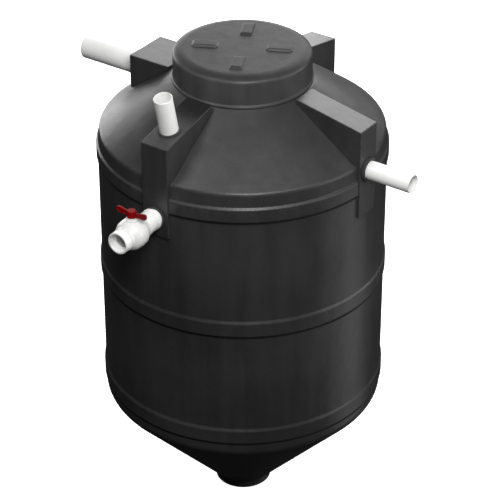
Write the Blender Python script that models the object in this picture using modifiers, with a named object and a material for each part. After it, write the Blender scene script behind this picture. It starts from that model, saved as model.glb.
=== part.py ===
"""Self-cleaning biogas digester: a hollow rotomoulded tank with a lift-off lid, pipes and a sludge valve.

Metres, +Z up. The origin is the centre of the foot's underside. The outlet pipe points to +X, the inlet
pipe to -X, the sludge valve to -Y. Radial distances are called d, and azimuths run from +X towards +Y.
"""

import math

import bmesh
import bpy
from mathutils import Matrix, Vector

# Tank
BAND_R = 0.5750
BODY_R = 0.5715
WALL = 0.006
SEAM = 0.0003
RING_STEPS = 48
CONE_TOP_Z = 0.5725
RIM_Z = 1.6600
SHELF_Z = 1.9130
FOOT_R = 0.1160
FOOT_H = 0.0310
NECK_R = 0.2585
NECK_TOP_Z = 2.0120
SHELF_R = 0.2760
SHELF_THICK = 0.0065
RIM_BAND_LOW_Z = 1.5945
LOWER_BANDS = ((1.1495, 1.0830), (0.6410, CONE_TOP_Z + 0.0040))
BAND_STEP = 0.0035

# Lid
LID_R = 0.2700
LID_RIM_Z = 2.0246
LID_CROWN = 0.0040
LID_THICK = 0.0060
SKIRT_Z = 1.9245
GRIP_AT_R = 0.1380
GRIP_SIZE = (0.108, 0.050, 0.016)
GRIP_TURN = 27.0

# Housings on the shoulder: outer face, half width, top at the outer face, slope of the top, lowest edge
HOUSING_END = 0.2820
HOUSINGS = {
    "outlet": (0.0, 0.5767, 0.0562, 1.8650, 0.190, 1.4940),
    "rear": (90.0, 0.5767, 0.0580, 1.8570, 0.190, 1.4900),
    "inlet": (180.0, 0.4710, 0.1015, 1.9120, 0.0, 1.6900),
    "sludge": (270.0, 0.5767, 0.0596, 1.8590, 0.2377, 1.4820),
}
EDGE_ROUND = 0.005

# Pipes: outer radius, wall
PIPE_STEPS = 24
INLET_PIPE = (0.0510, 0.0035, 1.8290, 0.7600)
OUTLET_PIPE = (0.0367, 0.0030, 1.6860, 0.7760)
SLUDGE_PIPE = (0.0363, 0.0030, 1.5640)
CLEANOUT_PIPE = (0.0360, 0.0030)
CLEANOUT_TOP = (0.5130, 2.0400)
CLEANOUT_LEAN = 0.2377
CLEANOUT_LOW_Z = 0.3000
SEAL_GAP = 0.0003
SEAL_THICK = 0.0045
SEAL_FLANGE = 0.0075

# Ball valve, by distance from the tank's axis
VALVE_D = 0.7180
VALVE_BULGE_R = 0.0610
VALVE_BORE_R = 0.0290
BALL_R = 0.0440
BALL_GAP = 0.0025
STEM_R = 0.0090
HANDLE_LOW = 0.0745
HANDLE_TOP = 0.0990
HANDLE_HALF = 0.0680


def clear_scene():
    for obj in list(bpy.data.objects):
        bpy.data.objects.remove(obj, do_unlink=True)


def collection(name, hidden=False):
    made = bpy.data.collections.new(name)
    bpy.context.scene.collection.children.link(made)
    made.hide_render = hidden
    return made


def material(name, colour, roughness):
    made = bpy.data.materials.new(name)
    made.use_nodes = True
    shader = made.node_tree.nodes["Principled BSDF"]
    shader.inputs["Base Color"].default_value = (*colour, 1.0)
    shader.inputs["Roughness"].default_value = roughness
    return made


class Workshop:
    """The two collections and the finishes that every piece is made with."""

    def __init__(self):
        self.parts = collection("biogas_digester")
        self.cutters = collection("cutters", hidden=True)
        self.finishes = {
            "black": ((0.012, 0.012, 0.013), 0.45),
            "white": ((0.80, 0.80, 0.79), 0.30),
            "rubber": ((0.02, 0.02, 0.02), 0.80),
            "red": ((0.45, 0.008, 0.015), 0.35),
        }

    def add(self, name, points, faces, finish=None, origin=(0.0, 0.0, 0.0)):
        """A mesh object with that origin: a part when it has a finish, otherwise a cutter."""
        mesh = bpy.data.meshes.new(name)
        mesh.from_pydata([tuple(Vector(p) - Vector(origin)) for p in points], [], faces)
        mesh.validate()
        tidy = bmesh.new()
        tidy.from_mesh(mesh)
        bmesh.ops.recalc_face_normals(tidy, faces=tidy.faces)
        tidy.to_mesh(mesh)
        tidy.free()
        obj = bpy.data.objects.new(name, mesh)
        obj.location = origin
        if finish:
            mesh.materials.append(material(name + "_finish", *self.finishes[finish]))
            self.parts.objects.link(obj)
        else:
            self.cutters.objects.link(obj)
            obj.hide_render = True
            obj.display_type = "WIRE"
        return obj


def frame_along(origin, direction):
    """A matrix whose Z axis is the direction, for rings round an axis that isn't upright."""
    turn = Vector(direction).normalized().to_track_quat("Z", "Y").to_matrix().to_4x4()
    return Matrix.Translation(Vector(origin)) @ turn


def lathe(profile, steps, matrix=None, turn=0.0):
    """Points and faces of a closed (radius, height) outline turned round Z. Radius 0 makes one point."""
    points, rings = [], []
    for radius, height in profile:
        if radius < 1e-9:
            rings.append([len(points)] * steps)
            points.append(Vector((0.0, 0.0, height)))
            continue
        rings.append(list(range(len(points), len(points) + steps)))
        for i in range(steps):
            angle = turn + 2 * math.pi * i / steps
            points.append(Vector((radius * math.cos(angle), radius * math.sin(angle), height)))
    faces = []
    for k, ring in enumerate(rings):
        following = rings[(k + 1) % len(rings)]
        for i in range(steps):
            j = (i + 1) % steps
            corners = []
            for corner in (ring[i], ring[j], following[j], following[i]):
                if corner not in corners:
                    corners.append(corner)
            if len(corners) > 2:
                faces.append(corners)
    if matrix:
        points = [matrix @ p for p in points]
    return points, faces


def at_azimuth(azimuth, d, across, z):
    angle = math.radians(azimuth)
    outward = Vector((math.cos(angle), math.sin(angle), 0.0))
    sideways = Vector((-math.sin(angle), math.cos(angle), 0.0))
    return outward * d + sideways * across + Vector((0.0, 0.0, z))


def wedge(profile, half_width, azimuth):
    """A flat (d, z) outline given a width across its azimuth."""
    count = len(profile)
    points = [at_azimuth(azimuth, d, side * half_width, z) for side in (-1, 1) for d, z in profile]
    faces = [list(range(count)), list(range(2 * count - 1, count - 1, -1))]
    for i in range(count):
        j = (i + 1) % count
        faces.append([i, count + i, count + j, j])
    return points, faces


def arc_path(corners, bend):
    """A (d, z) route through the corners, each inner corner rounded with the bend's radius."""
    route = [Vector(corners[0])]
    for before, corner, after in zip(corners, corners[1:], corners[2:]):
        corner = Vector(corner)
        back, on = (Vector(before) - corner).normalized(), (Vector(after) - corner).normalized()
        half = back.angle(on) / 2
        reach = bend / math.tan(half)
        centre = corner + (back + on).normalized() * (bend / math.sin(half))
        start, end = corner + back * reach, corner + on * reach
        sweep = math.pi - 2 * half
        count = max(3, round(sweep / math.radians(15)))
        for k in range(count + 1):
            share = k / count
            low = math.sin((1 - share) * sweep) / math.sin(sweep)
            high = math.sin(share * sweep) / math.sin(sweep)
            spoke = (start - centre) * low + (end - centre) * high
            route.append(centre + spoke)
    route.append(Vector(corners[-1]))
    return route


def tube(route, azimuth, outer, inner):
    """A hollow pipe along a (d, z) route in the upright plane of its azimuth."""
    points, rings = [], []
    for radius in (outer, inner):
        layer = []
        for k, spot in enumerate(route):
            ahead = route[min(k + 1, len(route) - 1)] - route[max(k - 1, 0)]
            ahead.normalize()
            normal = Vector((-ahead.y, ahead.x))
            layer.append(list(range(len(points), len(points) + PIPE_STEPS)))
            for i in range(PIPE_STEPS):
                angle = 2 * math.pi * i / PIPE_STEPS
                reach = normal * (radius * math.cos(angle))
                across = radius * math.sin(angle)
                points.append(at_azimuth(azimuth, spot.x + reach.x, across, spot.y + reach.y))
        rings.append(layer)
    order = rings[0] + rings[1][::-1]
    faces = []
    for k, ring in enumerate(order):
        following = order[(k + 1) % len(order)]
        for i in range(PIPE_STEPS):
            j = (i + 1) % PIPE_STEPS
            faces.append([ring[i], ring[j], following[j], following[i]])
    return points, faces


def boolean(obj, cutter, operation="DIFFERENCE"):
    step = obj.modifiers.new(cutter.name, "BOOLEAN")
    step.operation = operation
    step.solver = "EXACT"
    step.object = cutter


def rod(shop, name, origin, direction, radius, low, high, steps=PIPE_STEPS):
    """A round cutter between two distances along an axis."""
    outline = [(0, high), (radius, high), (radius, low), (0, low)]
    return shop.add(name, *lathe(outline, steps, frame_along(origin, direction)))


def barrel_outside():
    """The barrel's outer outline from the top, with its rim band and two lower bands."""
    outline = [(BAND_R - 0.0015, RIM_Z), (BAND_R, RIM_Z - 0.003), (BAND_R, RIM_BAND_LOW_Z)]
    outline.append((BODY_R, RIM_BAND_LOW_Z - 0.004))
    for top, bottom in LOWER_BANDS:
        outline += [(BODY_R, top + BAND_STEP), (BAND_R, top), (BAND_R, bottom)]
        outline.append((BODY_R, bottom - BAND_STEP))
    return outline


def shoulder_outside():
    """The shoulder's outer outline, from the shelf round the neck down to the rim."""
    return [
        (SHELF_R, SHELF_Z),
        (0.3910, 1.8325),
        (0.4770, 1.7715),
        (0.5250, 1.7365),
        (0.5440, 1.7215),
        (0.5540, 1.7130),
        (0.5590, 1.7075),
        (0.5622, 1.6995),
        (0.5660, 1.6800),
        (0.5680, RIM_Z + SEAM),
    ]


def cone_outside():
    return [
        (BODY_R, CONE_TOP_Z - SEAM),
        (BODY_R, 0.5480),
        (0.5700, 0.5330),
        (0.5655, 0.5185),
        (0.5560, 0.5045),
        (0.5152, 0.4600),
        (FOOT_R, FOOT_H + SEAM),
    ]


def make_barrel(shop):
    outline = barrel_outside()
    low = outline[-1][1]
    outline += [(BODY_R - WALL, low), (BODY_R - WALL, RIM_Z)]
    return shop.add("tank_barrel", *lathe(outline, RING_STEPS), "black")


def make_shoulder(shop):
    outside = shoulder_outside()
    inside = [(0.5620, RIM_Z + SEAM), (0.5600, 1.6790), (0.5555, 1.6985), (0.5505, 1.7065), (0.5400, 1.7160)]
    inside += [(0.5215, 1.7305), (0.4735, 1.7655), (0.3875, 1.8265), (0.2725, SHELF_Z - SHELF_THICK)]
    outline = [(NECK_R + SEAM, SHELF_Z)] + outside + inside + [(NECK_R + SEAM, SHELF_Z - SHELF_THICK)]
    return shop.add("tank_shoulder", *lathe(outline, RING_STEPS), "black")


def make_neck(shop):
    inner, low = NECK_R - WALL, SHELF_Z - 0.0100
    outline = [(NECK_R, NECK_TOP_Z), (NECK_R, low), (inner, low), (inner, NECK_TOP_Z)]
    return shop.add("manhole_neck", *lathe(outline, RING_STEPS), "black")


def make_bottom(shop):
    outside = cone_outside()
    inside = [(FOOT_R - WALL, FOOT_H + SEAM), (0.5108, 0.4645), (0.5510, 0.5080), (0.5600, 0.5215)]
    inside += [(0.5641, 0.5350), (BODY_R - WALL, 0.5490), (BODY_R - WALL, CONE_TOP_Z - SEAM)]
    cone = shop.add("tank_bottom_cone", *lathe(outside + inside, RING_STEPS), "black")
    inner = FOOT_R - WALL
    cup = [(FOOT_R, FOOT_H), (FOOT_R, 0.003), (FOOT_R - 0.003, 0.0), (0, 0.0), (0, 0.008), (inner, 0.008)]
    foot = shop.add("base_foot", *lathe(cup + [(inner, FOOT_H)], RING_STEPS), "black")
    return cone, foot


def tank_envelope(shop):
    """The whole tank as one solid, a seam larger, which the housings are cut to."""
    outline = [(0.0, SHELF_Z + SEAM), (SHELF_R, SHELF_Z + SEAM)]
    outline += [(r + 0.0002, z + 0.0003) for r, z in shoulder_outside()[1:6]]
    outline += [(r + SEAM, z) for r, z in shoulder_outside()[6:-1]]
    outline += [(0.5680 + SEAM, RIM_Z + SEAM), (BAND_R - 0.0012, RIM_Z + SEAM)]
    outline += [(r + SEAM, z) for r, z in barrel_outside()[1:8]]
    outline += [(BODY_R + SEAM, 1.3), (0.0, 1.3)]
    return shop.add("tank_envelope", *lathe(outline, RING_STEPS))


def housing_top(side, d):
    _, face, _, top, slope, _ = HOUSINGS[side]
    return top + (face - d) * slope


def make_housing(shop, side, envelope):
    """A box moulded on the shoulder, hollow, whose outer face runs on down over the rim as a pad."""
    azimuth, face, half, _, _, low = HOUSINGS[side]
    outline = [(HOUSING_END, 1.70), (HOUSING_END, housing_top(side, HOUSING_END))]
    outline += [(face, housing_top(side, face)), (face, low), (face - 0.03, low)]
    box = shop.add(side + "_housing", *wedge(outline, half, azimuth), "black")
    rounding = box.modifiers.new("edges", "BEVEL")
    rounding.width = EDGE_ROUND
    rounding.segments = 2
    rounding.limit_method = "ANGLE"
    near, far = HOUSING_END + 0.045, face - WALL
    if side == "inlet":
        near = HOUSING_END + 0.030
    hollow = [(near, 1.60), (near, housing_top(side, near) - WALL), (far, housing_top(side, far) - WALL)]
    hollow.append((far, 1.60))
    inside = shop.add(side + "_hollow", *wedge(hollow, half - WALL, azimuth))
    boolean(box, inside)
    boolean(box, envelope)
    return box


def cut_shoulder(shop, shoulder, side):
    """The way from a housing's hollow down into the tank."""
    azimuth, face, half, _, _, _ = HOUSINGS[side]
    near, far = HOUSING_END + 0.047, min(face - 0.0150, 0.5420)
    if side == "inlet":
        near = HOUSING_END + 0.033
    outline = [(near, 1.62), (near, 1.95), (far, 1.95), (far, 1.62)]
    slot = shop.add(side + "_slot", *wedge(outline, half - WALL - 0.002, azimuth))
    boolean(shoulder, slot)


def make_lid(shop):
    rim = LID_RIM_Z
    outline = [(0, rim + LID_CROWN), (0.15, rim + LID_CROWN - 0.0008), (0.245, rim + 0.0012), (0.2600, rim)]
    outline += [(0.2665, rim - 0.0025), (LID_R - 0.0004, rim - 0.0075), (0.2712, 1.9370), (0.2752, 1.9330)]
    outline += [(0.2760, 1.9285), (0.2757, SKIRT_Z), (0.2660, SKIRT_Z), (0.2650, 1.9400), (0.2640, 2.0130)]
    outline += [(0.2600, 2.0183), (0.2450, 2.0190), (0.15, rim + LID_CROWN - 0.0068)]
    outline.append((0, rim + LID_CROWN - LID_THICK))
    lid = shop.add("lid", *lathe(outline, RING_STEPS), "black", (0.0, 0.0, SKIRT_Z))
    long, wide, high = GRIP_SIZE
    points, faces = [], []
    for k in range(4):
        azimuth = 270.0 + GRIP_TURN + 90.0 * k
        first = len(points)
        base = rim + 0.0005
        for z, inset in ((base - 0.003, 0.0), (base + high - 0.004, 0.004), (base + high, 0.009)):
            for u, v in ((-1, -1), (1, -1), (1, 1), (-1, 1)):
                d = GRIP_AT_R + u * (long / 2 - inset)
                points.append(at_azimuth(azimuth, d, v * (wide / 2 - inset), z))
        faces.append([first + i for i in (3, 2, 1, 0)])
        faces.append([first + 8 + i for i in range(4)])
        for level in (0, 4):
            for i in range(4):
                j = (i + 1) % 4
                faces.append([first + level + n for n in (i, j, 4 + j, 4 + i)])
    grips = shop.add("lid_grips", points, faces)
    boolean(lid, grips, "UNION")
    gasket = [(NECK_R, NECK_TOP_Z + SEAM), (NECK_R, 2.0175), (NECK_R - 0.001, 2.0180)]
    gasket += [(NECK_R - WALL + 0.001, 2.0180), (NECK_R - WALL, 2.0175), (NECK_R - WALL, NECK_TOP_Z + SEAM)]
    shop.add("lid_gasket", *lathe(gasket, RING_STEPS), "rubber")
    return lid


def make_seal(shop, name, origin, direction, pipe_r, wall):
    """A rubber grommet: a sleeve in the wall's hole with a flange against its outside, which is at 0."""
    inner = pipe_r + SEAL_GAP
    sleeve = inner + SEAL_THICK
    flange = inner + SEAL_FLANGE
    outline = [(inner, 0.006), (flange - 0.002, 0.006), (flange, 0.004), (flange, SEAM), (sleeve, SEAM)]
    outline += [(sleeve, -wall), (inner, -wall)]
    shop.add(name, *lathe(outline, PIPE_STEPS, frame_along(origin, direction)), "rubber")
    return sleeve + SEAL_GAP


def make_inlet(shop, housing, shoulder):
    radius, wall, z, far = INLET_PIPE
    route = arc_path([(far, z), (0.3000, z), (0.3000, 0.4000)], 0.0800)
    shop.add("inlet_pipe", *tube(route, 180.0, radius, radius - wall), "white")
    face = HOUSINGS["inlet"][1]
    hole = make_seal(shop, "inlet_seal", (-face, 0, z), (-1, 0, 0), radius, WALL)
    boolean(housing, rod(shop, "inlet_hole", (-face, 0, z), (-1, 0, 0), hole, -0.03, 0.03))
    saddle = radius + SEAL_GAP + SEAL_FLANGE + 0.0005
    boolean(shoulder, rod(shop, "inlet_saddle", (-face, 0, z), (-1, 0, 0), saddle, -0.03, 0.0065))


def make_outlet(shop, housing, barrel, shoulder):
    radius, wall, z, far = OUTLET_PIPE
    route = arc_path([(far, z), (0.4700, z), (0.4700, 1.4800)], 0.0600)
    shop.add("outlet_pipe", *tube(route, 0.0, radius, radius - wall), "white")
    face = HOUSINGS["outlet"][1]
    hole = make_seal(shop, "outlet_seal", (face, 0, z), (1, 0, 0), radius, 0.022)
    cutter = rod(shop, "outlet_hole", (face, 0, z), (1, 0, 0), hole, -0.05, 0.03)
    for piece in (housing, barrel, shoulder):
        boolean(piece, cutter)


def make_sludge_pipe(shop, housing, barrel):
    radius, wall, z = SLUDGE_PIPE
    route = arc_path([(0.6530, z), (0.4850, z), (0.4850, 0.7400), (0.2200, 0.3600)], 0.0600)
    shop.add("sludge_pipe", *tube(route, 270.0, radius, radius - wall), "white")
    face = HOUSINGS["sludge"][1]
    hole = make_seal(shop, "sludge_seal", (0, -face, z), (0, -1, 0), radius, 0.011)
    cutter = rod(shop, "sludge_hole", (0, -face, z), (0, -1, 0), hole, -0.05, 0.03)
    for piece in (housing, barrel):
        boolean(piece, cutter)


def make_cleanout(shop, housing):
    radius, wall = CLEANOUT_PIPE
    top_d, top_z = CLEANOUT_TOP
    low_d = top_d - CLEANOUT_LEAN * (top_z - CLEANOUT_LOW_Z)
    route = [Vector((top_d, top_z)), Vector((low_d, CLEANOUT_LOW_Z))]
    shop.add("cleanout_pipe", *tube(route, 270.0, radius, radius - wall), "white")
    azimuth, face, _, top, slope, _ = HOUSINGS["sludge"]
    down = (top_z - top - slope * (face - top_d)) / (1 + slope * CLEANOUT_LEAN)
    d = top_d - CLEANOUT_LEAN * down
    origin = at_azimuth(azimuth, d, 0.0, housing_top("sludge", d))
    along = at_azimuth(azimuth, CLEANOUT_LEAN, 0.0, 1.0)
    hole = make_seal(shop, "cleanout_seal", origin, along, radius, WALL)
    boolean(housing, rod(shop, "cleanout_hole", origin, along, hole, -0.02, 0.03))


def valve_frame(height):
    """Z of this frame runs outwards along the valve, from its middle."""
    return frame_along((0.0, -VALVE_D, height), (0.0, -1.0, 0.0))


def make_valve_body(shop):
    z = SLUDGE_PIPE[2]
    place = valve_frame(z)
    cavity = BALL_R + BALL_GAP
    outside = [(0.0450, 0.0585), (0.0460, 0.0450), (0.0530, 0.0370), (0.0590, 0.0240), (VALVE_BULGE_R, 0.0100)]
    outside += [(r, -s) for r, s in outside[::-1]]
    inside = [(VALVE_BORE_R + 0.001, -0.0585)]
    for k in range(-4, 5):
        s = 0.0340 * k / 4
        inside.append((math.sqrt(cavity**2 - s**2), s))
    inside.append((VALVE_BORE_R + 0.001, 0.0585))
    body = shop.add("valve_body", *lathe(outside + inside, 32, place), "white")
    above = (0.0, -VALVE_D, z)
    bonnet = rod(shop, "valve_bonnet", above, (0, 0, 1), 0.0210, 0.0520, 0.0700, 24)
    boolean(body, bonnet, "UNION")
    boolean(body, rod(shop, "stem_hole", above, (0, 0, 1), STEM_R + 0.0010, 0.0200, 0.0900, 24))


def make_valve_collars(shop):
    """The glued sockets of the valve: over the sludge pipe on the tank's side, and open on the other."""
    place = valve_frame(SLUDGE_PIPE[2])
    bore = SLUDGE_PIPE[0] + SEAM
    edge = 0.0585 + SEAM
    inner = [(0.0425, -edge), (0.0445, -edge - 0.004), (0.0420, -edge - 0.010), (0.0415, -0.1240)]
    inner += [(bore, -0.1240), (bore, -0.0645), (VALVE_BORE_R, -0.0640), (VALVE_BORE_R, -edge)]
    shop.add("valve_collar_inner", *lathe(inner, 32, place), "white")
    outer = [(0.0425, edge), (0.0445, edge + 0.004), (0.0428, edge + 0.012), (0.0430, 0.0900)]
    outer += [(0.0420, 0.0920), (0.0372, 0.0920), (bore, 0.0890), (bore, 0.0645)]
    outer += [(VALVE_BORE_R, 0.0640), (VALVE_BORE_R, edge)]
    shop.add("valve_collar_outer", *lathe(outer, 32, place), "white")


def make_valve_inside(shop):
    """The ball, shut at rest: its bore lies across the pipe. The stem stands on it."""
    z = SLUDGE_PIPE[2]
    centre = (0.0, -VALVE_D, z)
    outline = []
    for k in range(11):
        angle = math.pi * (k / 10 - 0.5)
        outline.append((BALL_R * math.cos(angle), BALL_R * math.sin(angle)))
    outline[0], outline[-1] = (0.0, -BALL_R), (0.0, BALL_R)
    ball = shop.add("valve_ball", *lathe(outline, 28, frame_along(centre, (0, 0, 1))), "white", centre)
    boolean(ball, rod(shop, "ball_bore", centre, (1, 0, 0), VALVE_BORE_R, -0.06, 0.06))
    top = BALL_R + SEAM
    stem = [(0, HANDLE_TOP - 0.0060), (STEM_R, HANDLE_TOP - 0.0060), (STEM_R, top), (0, top)]
    shop.add("valve_stem", *lathe(stem, 20, frame_along(centre, (0, 0, 1))), "white", centre)


def make_handle(shop):
    """The butterfly grip across the pipe: a hub on the stem and two upright wings."""
    z = SLUDGE_PIPE[2]
    centre = (0.0, -VALVE_D, z)
    hub = [(0, HANDLE_TOP), (0.0150, HANDLE_TOP), (0.0180, HANDLE_TOP - 0.003)]
    hub += [(0.0205, HANDLE_LOW), (0, HANDLE_LOW)]
    handle = shop.add("valve_handle", *lathe(hub, 24, frame_along(centre, (0, 0, 1))), "red", centre)
    low, high = z + HANDLE_LOW, z + HANDLE_TOP
    side = [(-HANDLE_HALF, low + 0.0050), (-HANDLE_HALF + 0.008, low), (-0.012, low), (0.012, low)]
    side += [(HANDLE_HALF - 0.008, low), (HANDLE_HALF, low + 0.0050), (HANDLE_HALF - 0.003, high - 0.004)]
    side += [(HANDLE_HALF - 0.010, high - 0.001), (0.020, high - 0.0055), (-0.020, high - 0.0055)]
    side += [(-HANDLE_HALF + 0.010, high - 0.001), (-HANDLE_HALF + 0.003, high - 0.004)]
    count = len(side)
    points = [Vector((x, -VALVE_D + y, height)) for y in (-0.0048, 0.0048) for x, height in side]
    faces = [list(range(count)), list(range(2 * count - 1, count - 1, -1))]
    faces += [[i, count + i, count + (i + 1) % count, (i + 1) % count] for i in range(count)]
    boolean(handle, shop.add("handle_wings", points, faces), "UNION")
    boolean(handle, rod(shop, "handle_hole", centre, (0, 0, 1), STEM_R + SEAM, 0.05, HANDLE_TOP - 0.0057, 20))


def main():
    clear_scene()
    shop = Workshop()
    barrel = make_barrel(shop)
    shoulder = make_shoulder(shop)
    make_neck(shop)
    make_bottom(shop)
    envelope = tank_envelope(shop)
    housings = {side: make_housing(shop, side, envelope) for side in HOUSINGS}
    for side in HOUSINGS:
        cut_shoulder(shop, shoulder, side)
    make_lid(shop)
    make_inlet(shop, housings["inlet"], shoulder)
    make_outlet(shop, housings["outlet"], barrel, shoulder)
    make_sludge_pipe(shop, housings["sludge"], barrel)
    make_cleanout(shop, housings["sludge"])
    make_valve_body(shop)
    make_valve_collars(shop)
    make_valve_inside(shop)
    make_handle(shop)


main()
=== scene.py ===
"""Looks of a self-cleaning biogas digester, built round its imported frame.

Metres, +Z up, in the frame's own axes: the outlet pipe points to +X, the inlet pipe to -X and the sludge
valve to -Y. Radial distances are called d, and azimuths run in degrees from +X towards +Y. Every outline of
a turned piece is a list of (radius, distance along the axis).
"""

import logging
import math
from collections.abc import Iterable, Sequence
from dataclasses import dataclass
from enum import Enum

import bmesh
import bpy
import numpy as np
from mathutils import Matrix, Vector


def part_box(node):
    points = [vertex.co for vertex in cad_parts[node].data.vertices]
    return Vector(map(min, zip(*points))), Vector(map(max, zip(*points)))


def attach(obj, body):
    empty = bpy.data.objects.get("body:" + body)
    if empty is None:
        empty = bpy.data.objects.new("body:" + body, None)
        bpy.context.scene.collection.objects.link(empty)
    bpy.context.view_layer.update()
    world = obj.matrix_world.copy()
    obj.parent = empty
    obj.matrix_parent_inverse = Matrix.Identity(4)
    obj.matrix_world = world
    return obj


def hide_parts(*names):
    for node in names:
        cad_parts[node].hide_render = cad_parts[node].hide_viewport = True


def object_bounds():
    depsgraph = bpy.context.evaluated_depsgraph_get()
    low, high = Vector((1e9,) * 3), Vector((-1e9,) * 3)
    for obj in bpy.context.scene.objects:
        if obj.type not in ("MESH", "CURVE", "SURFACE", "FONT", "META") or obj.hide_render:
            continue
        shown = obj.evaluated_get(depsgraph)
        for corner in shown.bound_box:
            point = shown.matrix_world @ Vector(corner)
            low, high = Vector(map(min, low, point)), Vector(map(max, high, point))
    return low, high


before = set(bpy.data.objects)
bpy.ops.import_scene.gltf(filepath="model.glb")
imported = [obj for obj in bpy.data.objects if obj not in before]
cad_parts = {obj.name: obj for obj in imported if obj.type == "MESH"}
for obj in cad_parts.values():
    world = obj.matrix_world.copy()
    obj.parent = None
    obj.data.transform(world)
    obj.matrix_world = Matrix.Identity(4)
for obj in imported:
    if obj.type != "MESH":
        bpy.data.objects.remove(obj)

LOG = logging.getLogger("digester")
CAD_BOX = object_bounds()

Point = tuple[float, float]
Colour = tuple[float, float, float]

ARC_STEP = math.radians(7.5)  # the largest turn between two points of an arc
ARC_LEAST = 3  # the fewest steps in an arc
ARC_ROOM = 0.48  # the most that one arc takes of the straight beside it, as a share
SUPPORT = 0.18  # how far past an arc its extra point lies, as a share of the arc's reach
SHORT = 1e-5  # a straight shorter than this takes no extra point
MITRE = 0.5  # a corner of a moved outline moves at most the distance over this
TANK_STEPS = 192  # points round the tank
PIPE_STEPS = 64  # points round a pipe
BEVEL_STEPS = 4  # faces across a rounded edge
FILLET_STEPS = 7  # faces across a fillet
SHARP = math.radians(38.0)  # faces that meet at more than this make an edge
CLEAR = 0.0003  # the gap between two neighbouring pieces
SAME_SPOT = 1e-6  # points closer than this are one
NIL = 1e-9  # too short or too small to divide by
WORN_BEND = 260.0  # the bend, in radians a metre, of an edge that takes the most wear

PAD_FACE = 0.5767  # d of the outer face of the three housings on pads
INLET_FACE = 0.4710  # d of the inlet housing's outer face
CORE_DEPTH = 0.0040  # how deep the housings are let into the tank's wall
CREASE_POINTS = 9  # points across a crease
ROOF_POINTS = 11  # points along a housing's top
CAVITY_POINTS = 13  # points across the valve's cavity
BALL_POINTS = 33  # points from pole to pole of the ball
SLACK = 0.001  # how much wider, on the radius, the valve body's holes are than the port and the stem


class Slot(Enum):
    """The record's material slots."""

    TANK = "black_polyethylene"
    PIPE = "white_pvc"
    SEAL = "seal_rubber"
    HANDLE = "red_handle"


class Body(Enum):
    """The bodies that pieces ride on."""

    DIGESTER = "digester"
    LID = "lid"
    VALVE = "valve_handle"


class Sock:
    """A shader socket in Python arithmetic: every operator on it adds one Math node."""

    def __init__(self, graph: "Graph", socket: bpy.types.NodeSocket) -> None:
        """Wraps an output socket of the graph's tree."""
        self.graph = graph
        self.socket = socket

    def _math(self, operation: str, *values: "Sock | float") -> "Sock":
        """The result of a Math node on the values, in their order."""
        return self.graph.node("ShaderNodeMath", {"operation": operation}, dict(enumerate(values)))

    def __add__(self, other: "Sock | float") -> "Sock":
        """This value plus the other."""
        return self._math("ADD", self, other)

    def __radd__(self, other: float) -> "Sock":
        """A number plus this value."""
        return self._math("ADD", other, self)

    def __sub__(self, other: "Sock | float") -> "Sock":
        """This value less the other."""
        return self._math("SUBTRACT", self, other)

    def __rsub__(self, other: float) -> "Sock":
        """A number less this value."""
        return self._math("SUBTRACT", other, self)

    def __mul__(self, other: "Sock | float") -> "Sock":
        """This value times the other."""
        return self._math("MULTIPLY", self, other)

    def __rmul__(self, other: float) -> "Sock":
        """A number times this value."""
        return self._math("MULTIPLY", other, self)


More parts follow.
